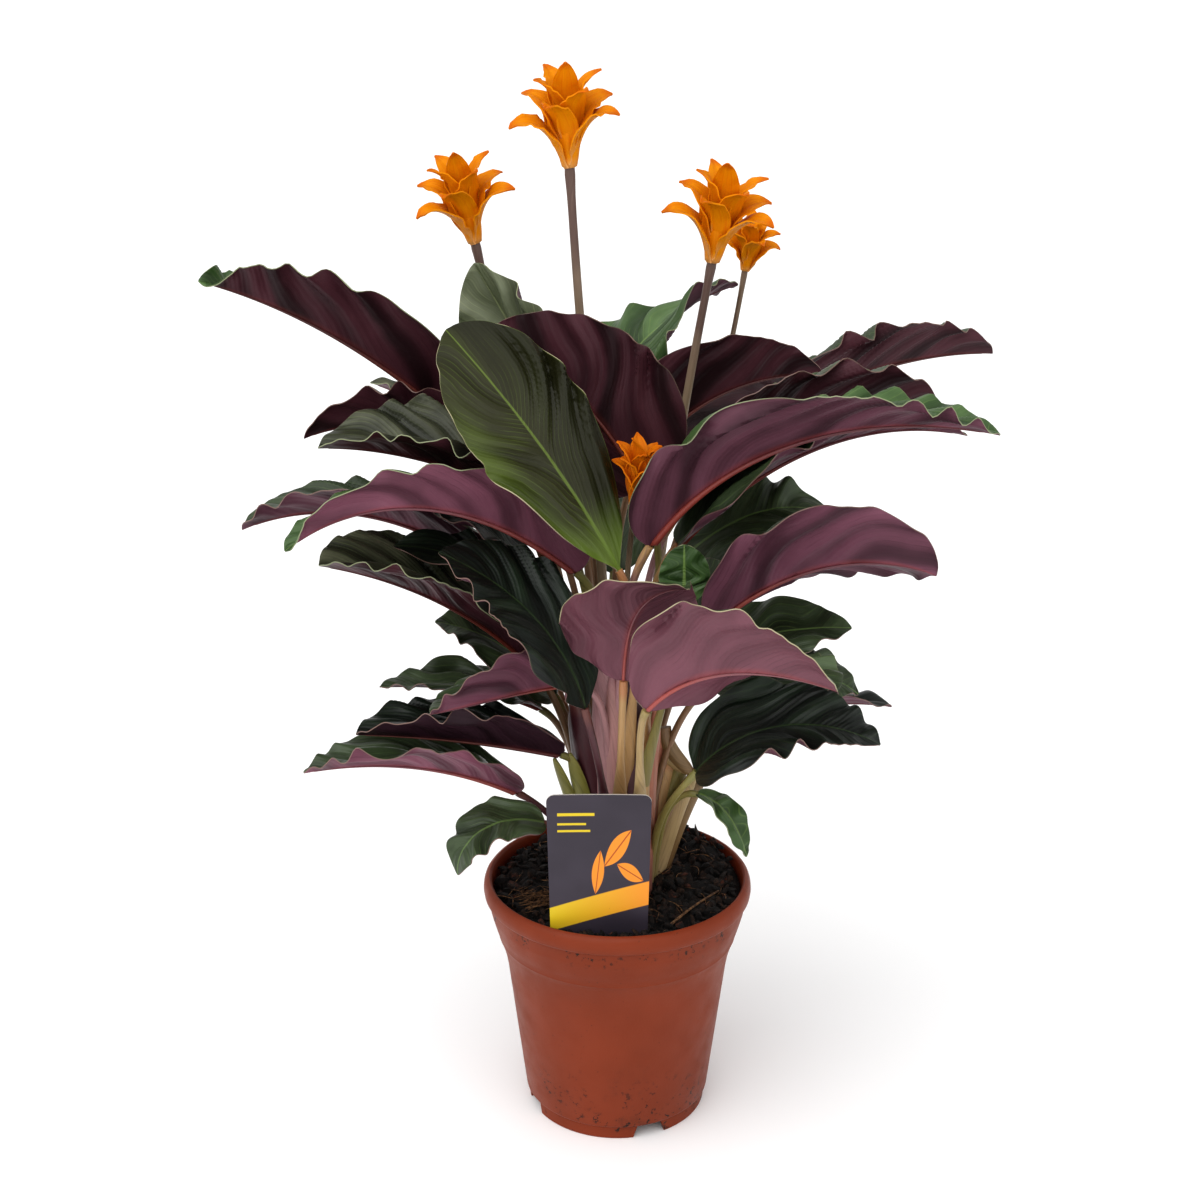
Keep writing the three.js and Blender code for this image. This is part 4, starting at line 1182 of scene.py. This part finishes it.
class AddSoil(bpy.types.Operator):
    """Fill the pot with dark soil, and strew bark chips and fibres over it"""
    bl_idname = "calathea.add_soil"
    bl_label = "Soil"

    # The soil's side, as (radius, height), and the rings of its surface.
    SIDE = ((46.5, 11.2), (56.4, 89.6), (58.8, 96.2), (62.2, 106.8), (63.6, 115))
    RADIUS, RINGS, SIDES = 64, 26, 128
    EDGE, EDGE_WIDTH, EDGE_DROP = 56, 8, 3
    CHIP_BLANKS, FIBRE_BLANKS = 6, 5
    CHIP_LEAST, CHIP_MORE = 1.1, 3.6
    CHIP_MIX = (4, 6, 1)         # how often a chip is made of each bark
    STREWN, FIBRES_STREWN = 62.5, 60
    CLEAR = 15                   # radius round the stalks with nothing strewn
    TUFT, TUFT_WIDTH = (-40, -22), 6
    TWIG, TWIG_ROWS, TWIG_SIDES = ((26, -47), (52, -14)), 12, 8
    FIBRE_ROWS, FIBRE_SIDES, FIBRE_RADIUS = 6, 4, 0.022   # of a fibre 1 long
    # For each kind: name, then its usual, pale and dark tones, its lumps in m and its roughness.
    BARKS = {
        "soil": ("potting soil", ("dark", (86, 64, 46), (8, 6, 5)), 0.004),
        "bark": ("bark chip", ("bark", (112, 82, 58), (26, 18, 14))),
        "dark": ("dark bark chip", ((36, 25, 20), (70, 52, 40), (12, 9, 8))),
        "red": ("red bark chip", ((96, 52, 36), (140, 92, 64), (40, 24, 18))),
        "fibre": ("coir fibre", ("fibre", (190, 152, 108), (74, 50, 32)), 0.002, 0.7),
    }

    def execute(self, context):
        setting = context.scene.calathea_soil
        bark_pattern()
        soil, *barks, fibre = made(rough_bark, self.BARKS, setting).values()
        body = self.body(setting)
        body.data.materials.append(soil)
        chips = self.chips(setting, barks)
        fibres = self.fibres(setting, fibre)
        finish_piece([body, *chips, *fibres, self.twig(fibre)], "potting_soil", ["soil"], 30)
        return {"FINISHED"}

    def body(self, setting):
        """The soil itself, with its lumpy surface, which sinks a little at the pot's wall."""
        surface = [(self.RADIUS * (1 - step / self.RINGS) + 0.01, SOIL_TOP - 1) for step in range(self.RINGS)]
        body = turned("soil_body", [*self.SIDE, *surface], self.SIDES, pole_first=True)
        places = places_of(body.data) / MM
        x, y, z = places.T
        lumps = (waves(x, y, 0, "lumps", 17) + 0.6 * waves(x, y, 0, "crumbs", 6)) * setting.relief / MM * 0.7
        edge = np.clip((np.hypot(x, y) - self.EDGE) / self.EDGE_WIDTH, 0, 1)
        top = soil_height(x, y) + lumps * (1 - edge) - self.EDGE_DROP * edge ** 2
        places[:, 2] = np.where(z > SOIL_TOP - 1.5, top, z)
        move_to(body.data, places * MM)
        return body

    def spot(self, chance, radius):
        """A chance place on the soil, clear of the clump of stalks."""
        while True:
            distance, turn = radius * math.sqrt(chance.random()), chance.uniform(0, FULL_TURN)
            if distance > self.CLEAR:
                return distance * math.cos(turn), distance * math.sin(turn)

    def chips(self, setting, finishes):
        chance = random.Random("chips")
        blanks = []
        for number in range(self.CHIP_BLANKS):
            blank = primitive("ico_sphere", f"chip_blank_{number}", subdivisions=1, radius=1)
            places = places_of(blank.data)
            places *= 1 + 0.35 * waves(*places.T, f"chip {number}", 1.6)[:, None]
            places *= [1.0, chance.uniform(0.45, 0.8), chance.uniform(0.25, 0.5)]
            move_to(blank.data, places)
            blanks.append(blank)
        pieces = []
        for _ in range(setting.chips):
            x, y = self.spot(chance, self.STREWN)
            size = self.CHIP_LEAST + self.CHIP_MORE * chance.random() ** 2
            place = (Matrix.Translation(Vector((x, y, soil_height(x, y) + size * 0.35)) * MM)
                     @ Matrix.Rotation(chance.uniform(0, 6.28), 4, "Z")
                     @ Matrix.Rotation(chance.gauss(0, 0.7), 4, "X")
                     @ Matrix.Rotation(chance.gauss(0, 0.6), 4, "Y") @ Matrix.Scale(size * MM, 4))
            pieces.append(copy_of(chance.choice(blanks), place, chance.choices(finishes, self.CHIP_MIX)[0]))
        discard(blanks)
        return pieces

    def twig(self, finish):
        """One long thin twig, lying across the soil."""
        share = stalk_shares(self.TWIG_ROWS)
        start, end = self.TWIG
        plan = np.array(start) + np.outer(share, np.subtract(end, start))
        height = soil_height(*plan.T) + 2.6 + 1.2 * np.sin(math.pi * share)
        route = np.column_stack([plan, height])
        side, up = tube_sides(route, np.array([0.1, 0.05, 1.0]))
        radius = closed(0.75 - 0.3 * share)
        twig = tube("twig", route, side, up, radius, radius, self.TWIG_SIDES)
        twig.data.materials.append(finish)
        return twig

    def fibres(self, setting, finish):
        """Half of the fibres are strewn over the soil, the others lie in a tuft."""
        chance = random.Random("fibres")
        share = np.linspace(0, 1, self.FIBRE_ROWS)
        radius = np.array([0, 0.9, 1, 1, 0.8, 0]) * self.FIBRE_RADIUS
        blanks = []
        for number in range(self.FIBRE_BLANKS):
            bend = chance.uniform(0.2, 0.9)
            route = np.stack([share - 0.5, bend * (share - 0.5) ** 2, 0.12 * np.sin(3 * share)], -1)
            side, up = tube_sides(route, np.array([0, 0.05, 1.0]))
            blanks.append(tube(f"fibre_blank_{number}", route, side, up, radius, radius, self.FIBRE_SIDES))
        pieces = []
        for number in range(setting.fibres):
            if number % 2:
                x, y = self.spot(chance, self.FIBRES_STREWN)
                height, turn = 2.0, chance.uniform(0, 6.28)
            else:
                x, y = (middle + chance.gauss(0, self.TUFT_WIDTH) for middle in self.TUFT)
                height, turn = 2.2 + 2.5 * chance.random(), 0.5 + chance.gauss(0, 0.5)
            size = chance.uniform(5, 15)
            place = (Matrix.Translation(Vector((x, y, soil_height(x, y) + height)) * MM)
                     @ Matrix.Rotation(turn, 4, "Z")
                     @ Matrix.Rotation(chance.gauss(0, 0.2), 4, "Y") @ Matrix.Scale(size, 4))
            pieces.append(copy_of(chance.choice(blanks), place, finish))
        discard(blanks)
        return pieces


# ---- tag -----------------------------------------------------------------------------------------

# The printed shapes, in shares of the card's width and height.
SLOPE, WEDGE_LOW, WEDGE_HIGH = 0.19, 0.09, 0.158
PRINTED_LEAVES = (   # middle, half the length and height, and turn in radians
    (0.68, 0.65, 0.18, 0.07, 0.75),
    (0.80, 0.49, 0.14, 0.055, -0.4),
    (0.49, 0.49, 0.15, 0.06, 1.4),
)
PRINTED_BARS = (     # left, right, low, high
    (0.1, 0.46, 0.86, 0.885),
    (0.1, 0.38, 0.80, 0.82),
    (0.1, 0.42, 0.755, 0.775),
)
SOFT_EDGE = 0.006


def printed_card(setting):
    """Print for the card: a dark ground, a slanting warm wedge, plain bars and small leaf shapes."""
    card = Finish("printed card", setting.ground, roughness=0.4, Specular_IOR_Level=0.35)
    card.coat(toned(setting.ground, 0.8), card.rise(card.noise(0.03, 2), 0.3, 0.7))
    across, up, _ = card.xyz(card.uv("share"))
    slant = card.calc("SUBTRACT", up, card.calc("MULTIPLY_ADD", across, SLOPE, WEDGE_LOW))
    card.coat(card.mix(across, setting.wedge, setting.wedge_end),
              card.rise(slant, -0.004, 0.004), card.rise(slant, WEDGE_HIGH + 0.004, WEDGE_HIGH - 0.004))
    for middle_x, middle_y, long, tall, turn in PRINTED_LEAVES:
        print_leaf(card, setting, card.calc("SUBTRACT", across, middle_x),
                   card.calc("SUBTRACT", up, middle_y), long, tall, turn)
    for left, right, low, high in PRINTED_BARS:
        card.coat(setting.wedge, card.rise(across, left, left + SOFT_EDGE),
                  card.rise(across, right, right - SOFT_EDGE), card.rise(up, low, low + SOFT_EDGE),
                  card.rise(up, high, high - SOFT_EDGE))
    card.coat(shade(60, 42, 30), card.rise(card.noise(0.0012, 2), 0.72, 0.76), card.rise(up, 0.35, 0.0))
    return card.done((card.noise(0.0006, 2), 0.0001, 0.2))


def print_leaf(card, setting, dx, dy, long, tall, turn):
    """Prints one leaf with its midrib. It lies between two parabolas along its turned length."""
    cos, sin = math.cos(turn), math.sin(turn)
    run = card.calc("MULTIPLY_ADD", dx, cos / long, card.product(dy, sin / long))
    off_rib = card.calc("ABSOLUTE", card.calc("MULTIPLY_ADD", dy, cos / tall, card.product(dx, -sin / tall)))
    body = card.calc("MULTIPLY_ADD", run, run, off_rib)
    card.coat(setting.wedge_end, card.rise(body, 1.0, 0.94))
    card.coat(shade(168, 84, 34), card.rise(off_rib, 0.1, 0.05), card.rise(body, 1.0, 0.9))


def plain_card(name, tone):
    card = Finish(name, tone, roughness=0.5)
    card.coat(toned(tone, 0.82), card.rise(card.noise(0.004), 0.4, 0.7))
    return card.done((card.noise(0.0006, 2), 0.0001, 0.2))


class AddTag(bpy.types.Operator):
    """Stand the printed tag in the soil at the front of the pot"""
    bl_idname = "calathea.add_tag"
    bl_label = "Plant tag"

    TOP, SHOULDER, STAKE_START, STAKE_TIP = 201, 118, 96, 62
    SHOULDER_SLANT = 1.5
    PRINT_FOOT = 117
    STAKE = ((2, STAKE_TIP), (9, STAKE_START))
    CENTRE = (-9.5, -51)
    LEAN = 3
    CORNER = 4
    CROWN = 0.6                                           # how far the card's middle bulges
    CUT_HEIGHTS = (*range(100, 185, 12), 194)             # cuts that let the card bend
    CUT_SIDES = range(-20, 21, 5)

    def execute(self, context):
        setting = context.scene.calathea_tag
        half = setting.width / MM / 2
        card = self.cut_out(half)
        x, _, z = places_of(card.data).T / MM
        for layer in list(card.data.uv_layers):
            card.data.uv_layers.remove(layer)
        print_height = self.TOP - self.PRINT_FOOT
        write_uv(card.data, "share", x / (2 * half) + 0.5, (z - self.PRINT_FOOT) / print_height)
        lean = math.radians(self.LEAN)
        height = z - SOIL_TOP
        bulge = -self.CROWN * (x / half) ** 2
        move_to(card.data, MM * np.stack([
            self.CENTRE[0] + x, self.CENTRE[1] + bulge * math.cos(lean) - height * math.sin(lean),
            SOIL_TOP + height * math.cos(lean) + bulge * math.sin(lean)], -1))
        for material in (printed_card(setting), plain_card("card back", shade(206, 200, 188)),
                         plain_card("card edge", shade(214, 210, 202))):
            card.data.materials.append(material)
        in_edit_mode(card)
        point_outwards()
        if np.mean([face.normal.y for face in card.data.polygons]) > 0:
            card.data.flip_normals()
        apply_modifier(card, "SOLIDIFY", thickness=setting.thickness, offset=0,
                       material_offset=1, material_offset_rim=2)
        finish_piece([card], "plant_tag_card", ["plant_tag"], 30)
        return {"FINISHED"}

    def cut_out(self, half):
        """The flat card with its stake, standing upright, cut into strips both ways."""
        quarter = np.linspace(0, math.pi / 2, 9)
        corner = [(half - self.CORNER + self.CORNER * math.cos(turn),
                   self.TOP - self.CORNER + self.CORNER * math.sin(turn)) for turn in quarter]
        right = [*self.STAKE, (half - self.SHOULDER_SLANT, self.SHOULDER), *corner]
        outline = right + [(-x, z) for x, z in reversed(right)]
        card = primitive("circle", "card", vertices=len(outline), radius=0.02, fill_type="NGON")
        move_to(card.data, np.array([(x, 0, z) for x, z in outline]) * MM)
        in_edit_mode(card)
        cuts = [((0, 0, height * MM), (0, 0, 1)) for height in self.CUT_HEIGHTS]
        cuts += [((x * MM, 0, 0), (1, 0, 0)) for x in self.CUT_SIDES]
        for place, direction in cuts:
            bpy.ops.mesh.select_all(action="SELECT")
            bpy.ops.mesh.bisect(plane_co=place, plane_no=direction)
        in_object_mode()
        return card


# ---- pot -----------------------------------------------------------------------------------------

def pot_plastic(setting):
    """Injection-moulded terracotta plastic: faintly mottled, scuffed and smudged with soil."""
    plastic = Finish("pot plastic", setting.terracotta, roughness=0.42, Specular_IOR_Level=0.2)
    height = plastic.xyz(plastic.place())["Z"]
    plastic.coat(toned(setting.terracotta, 0.86), plastic.rise(plastic.noise(0.05), 0.3, 0.7))
    lower = plastic.calc("MULTIPLY_ADD", plastic.rise(height, 0.055, 0.01), 0.55, 0.06)
    plastic.coat(setting.smudge, plastic.rise(plastic.noise(0.016, 6, 0.7), 0.55, 0.72), lower)
    near_lip = plastic.product(plastic.rise(height, 0.108, 0.117), plastic.rise(height, 0.121, 0.119))
    plastic.coat(shade(38, 26, 22), plastic.rise(plastic.noise(0.0032, 4, 0.7), 0.57, 0.585),
                 plastic.calc("ADD", plastic.rise(height, 0.052, 0.006), near_lip),
                 plastic.rise(plastic.noise(0.018, 2), 0.46, 0.56))
    plastic.coat(shade(60, 36, 28), plastic.rise(plastic.noise(0.0016, 2), 0.72, 0.75), 0.6)
    worn = plastic.rise(plastic.noise(0.012, 4), 0.2, 0.9)
    plastic.feed(plastic.shader["Roughness"], plastic.calc("MULTIPLY_ADD", worn, 0.2, 0.38))
    return plastic.done((plastic.noise(0.0008), 0.0002, 0.35), (plastic.noise(0.03, 2), 0.0016, 0.25))


class AddPot(bpy.types.Operator):
    """Turn the thin-walled pot, then cut its foot notches and drain holes"""
    bl_idname = "calathea.add_pot"
    bl_label = "Pot"

    # Profiles as (radius, height): up the outside, over the lip, and down the inside.
    OUTSIDE = ((44.6, 0), (46.4, 0), (46.8, 0.4), (46.8, 7.0), (47.2, 7.4), (48.0, 7.6), (48.5, 8.1),
               (48.7, 9), (53.6, 49), (57.5, 81), (58.5, 87), (59.6, 91.4), (60.9, 95.4), (61.8, 98),
               (62.15, 98.4), (62.15, 99), (62.9, 101.4), (63.1, 102.2), (63.4, 102.9), (64.6, 107),
               (65.6, 110.6), (66.2, 113), (66.5, 118.4), (66.8, 119.4), (67.6, 119.9), (68.5, 120.3),
               (69.2, 121.4), (69.6, 124), (69.4, 126.4), (68.9, 128.1), (67.9, 129.4), (66.6, 130))
    INSIDE = ((65.8, 129.6), (65.2, 128.6), (64.8, 123), (64.6, 118), (62.9, 106.6), (59.4, 96),
              (57, 89.4), (52.0, 49), (47.1, 10.5))
    FLOOR_TOP, FLOOR_UNDER = 10.5, 9.0
    NOTCHES, NOTCH_WIDTH, NOTCH_SLANT, NOTCH_HEIGHT, NOTCH_TURN = 4, 19, 3, 7, 21
    NOTCH_OUTSIDE, NOTCH_INSIDE, NOTCH_BELOW = 56, 38, -2
    HOLES, HOLE_RADIUS, HOLE_RING, HOLE_DEPTH, HOLE_MIDDLE = 5, 4, 28, 8, 9.7

    def execute(self, context):
        setting = context.scene.calathea_pot
        shell = turned("pot", [*self.OUTSIDE, *self.INSIDE, (1.0, self.FLOOR_TOP)], setting.sides)
        self.close_under(shell)
        cutters = [self.notch(number) for number in range(self.NOTCHES)]
        cutters += [self.drain(number) for number in range(self.HOLES)]
        cutter = join(cutters, "pot_cutter")
        apply_modifier(shell, "BOOLEAN", object=cutter, operation="DIFFERENCE", solver="EXACT")
        discard([cutter])
        shell.data.materials.clear()
        shell.data.materials.append(pot_plastic(setting))
        finish_piece([shell], "nursery_pot", ["pot"], 35)
        return {"FINISHED"}

    def close_under(self, shell):
        """Runs the foot ring's inside up to the floor and closes the floor below."""
        in_edit_mode(shell, "DESELECT")
        in_object_mode()
        inner_edge = (self.OUTSIDE[0][0] + 0.2) * MM
        for vertex in shell.data.vertices:
            vertex.select = abs(vertex.co.z) < 1e-6 and vertex.co.xy.length < inner_edge
        for edge in shell.data.edges:
            edge.select = all(shell.data.vertices[v].select for v in edge.vertices)
        bpy.ops.object.mode_set(mode="EDIT")
        bpy.ops.mesh.select_mode(type="EDGE")
        extrude_up(self.FLOOR_UNDER)
        close_with_pole()
        bpy.ops.mesh.select_mode(type="VERT")
        point_outwards()

    def notch(self, number):
        """An arch to cut out of the foot ring, narrower at its top."""
        arch = primitive("cube", f"notch_{number}", size=1)
        x, y, z = places_of(arch.data).T
        turn = math.radians(90 + self.NOTCH_TURN + number * 360 / self.NOTCHES)
        out = np.where(x > 0, self.NOTCH_OUTSIDE, self.NOTCH_INSIDE)
        side = np.sign(y) * (self.NOTCH_WIDTH / 2 - (z > 0) * self.NOTCH_SLANT)
        height = np.where(z > 0, self.NOTCH_HEIGHT, self.NOTCH_BELOW)
        move_to(arch.data, MM * np.stack([out * math.cos(turn) - side * math.sin(turn),
                                          out * math.sin(turn) + side * math.cos(turn), height], -1))
        return arch

    def drain(self, number):
        turn = FULL_TURN * number / self.HOLES + math.pi / 2
        place = (self.HOLE_RING * math.cos(turn), self.HOLE_RING * math.sin(turn), self.HOLE_MIDDLE)
        return primitive("cylinder", f"drain_{number}", vertices=24, radius=self.HOLE_RADIUS * MM,
                         depth=self.HOLE_DEPTH * MM, location=[part * MM for part in place])


# ---- studio --------------------------------------------------------------------------------------

class AddStudio(bpy.types.Operator):
    """Lay the pale floor, hang the soft lights and set up the camera"""
    bl_idname = "calathea.add_studio"
    bl_label = "Studio"

    FLOOR_SIZE = 120
    LIGHTS = (
        # name, kind, place, aim, size in m or softness in degrees, power
        ("key light", "SUN", (-1.0, -1.5, 2.4), (0, 0, 0.2), 75, 1.75),
        ("fill light", "AREA", (1.7, -1.6, 1.0), (0, 0, 0.25), 1.8, 6),
    )
    ROOM_LIGHT = 0.68
    SENSOR = 36
    SIGHT = 300

    def execute(self, context):
        setting = context.scene.calathea_studio
        floor = primitive("plane", "floor", size=self.FLOOR_SIZE)
        finish = Finish("pale floor", setting.floor, roughness=0.7)
        finish.coat(toned(setting.floor, 0.99), finish.rise(finish.noise(0.4, 2), 0.2, 0.8))
        floor.data.materials.append(finish.done())
        for light in self.LIGHTS:
            self.add_light(*light)
        world = bpy.data.worlds.new("soft white room")
        world.use_nodes = True
        background = world.node_tree.nodes["Background"].inputs
        background["Color"].default_value = (1, 1, 1, 1)
        background["Strength"].default_value = self.ROOM_LIGHT
        context.scene.world = world
        context.scene.view_settings.view_transform = "Standard"
        context.scene.view_settings.look = "Medium High Contrast"
        bpy.ops.object.camera_add(location=setting.place, rotation=(setting.tilt, 0, 0))
        camera = bpy.context.active_object
        camera.name = "camera"
        camera.data.sensor_width = self.SENSOR
        camera.data.lens = setting.lens
        camera.data.clip_end = self.SIGHT
        context.scene.camera = camera
        return {"FINISHED"}

    def add_light(self, name, kind, place, aim, size, power):
        bpy.ops.object.light_add(type=kind, location=place)
        light = bpy.context.active_object
        light.name = name
        if kind == "SUN":
            light.data.angle = math.radians(size)
        else:
            light.data.shape = "DISK"
            light.data.size = size
        light.data.energy = power
        light.rotation_euler = (Vector(aim) - Vector(place)).to_track_quat("-Z", "Y").to_euler()


# ---- the add-on ----------------------------------------------------------------------------------

STEPS = (
    (AddPot, PotSettings, "calathea_pot"),
    (AddSoil, SoilSettings, "calathea_soil"),
    (AddTag, TagSettings, "calathea_tag"),
    (AddStalks, StalkSettings, "calathea_stalks"),
    (AddLeaves, LeafSettings, "calathea_leaves"),
    (AddBlooms, BloomSettings, "calathea_blooms"),
    (AddStudio, StudioSettings, "calathea_studio"),
)


class PlantPanel(bpy.types.Panel):
    """Lists the pieces of the plant with their settings"""
    bl_idname = "VIEW3D_PT_calathea"
    bl_label = "Calathea"
    bl_space_type = "VIEW_3D"
    bl_region_type = "UI"
    bl_category = "Calathea"

    def draw(self, context):
        for operator, kind, key in STEPS:
            box = self.layout.box()
            box.operator(operator.bl_idname)
            for setting in kind.__annotations__:
                box.prop(getattr(context.scene, key), setting)


def register():
    for operator, settings, key in STEPS:
        bpy.utils.register_class(settings)
        setattr(bpy.types.Scene, key, PointerProperty(type=settings))
        bpy.utils.register_class(operator)
    bpy.utils.register_class(PlantPanel)


def unregister():
    bpy.utils.unregister_class(PlantPanel)
    for operator, settings, key in reversed(STEPS):
        bpy.utils.unregister_class(operator)
        delattr(bpy.types.Scene, key)
        bpy.utils.unregister_class(settings)


def main():
    register()
    bpy.ops.object.select_all(action="DESELECT")
    for operator, _, _ in STEPS:
        step = getattr(bpy.ops.calathea, operator.bl_idname.split(".")[1])
        if step() != {"FINISHED"}:
            raise RuntimeError(f"{operator.bl_label} could not be made")


if __name__ == "__main__":
    main()
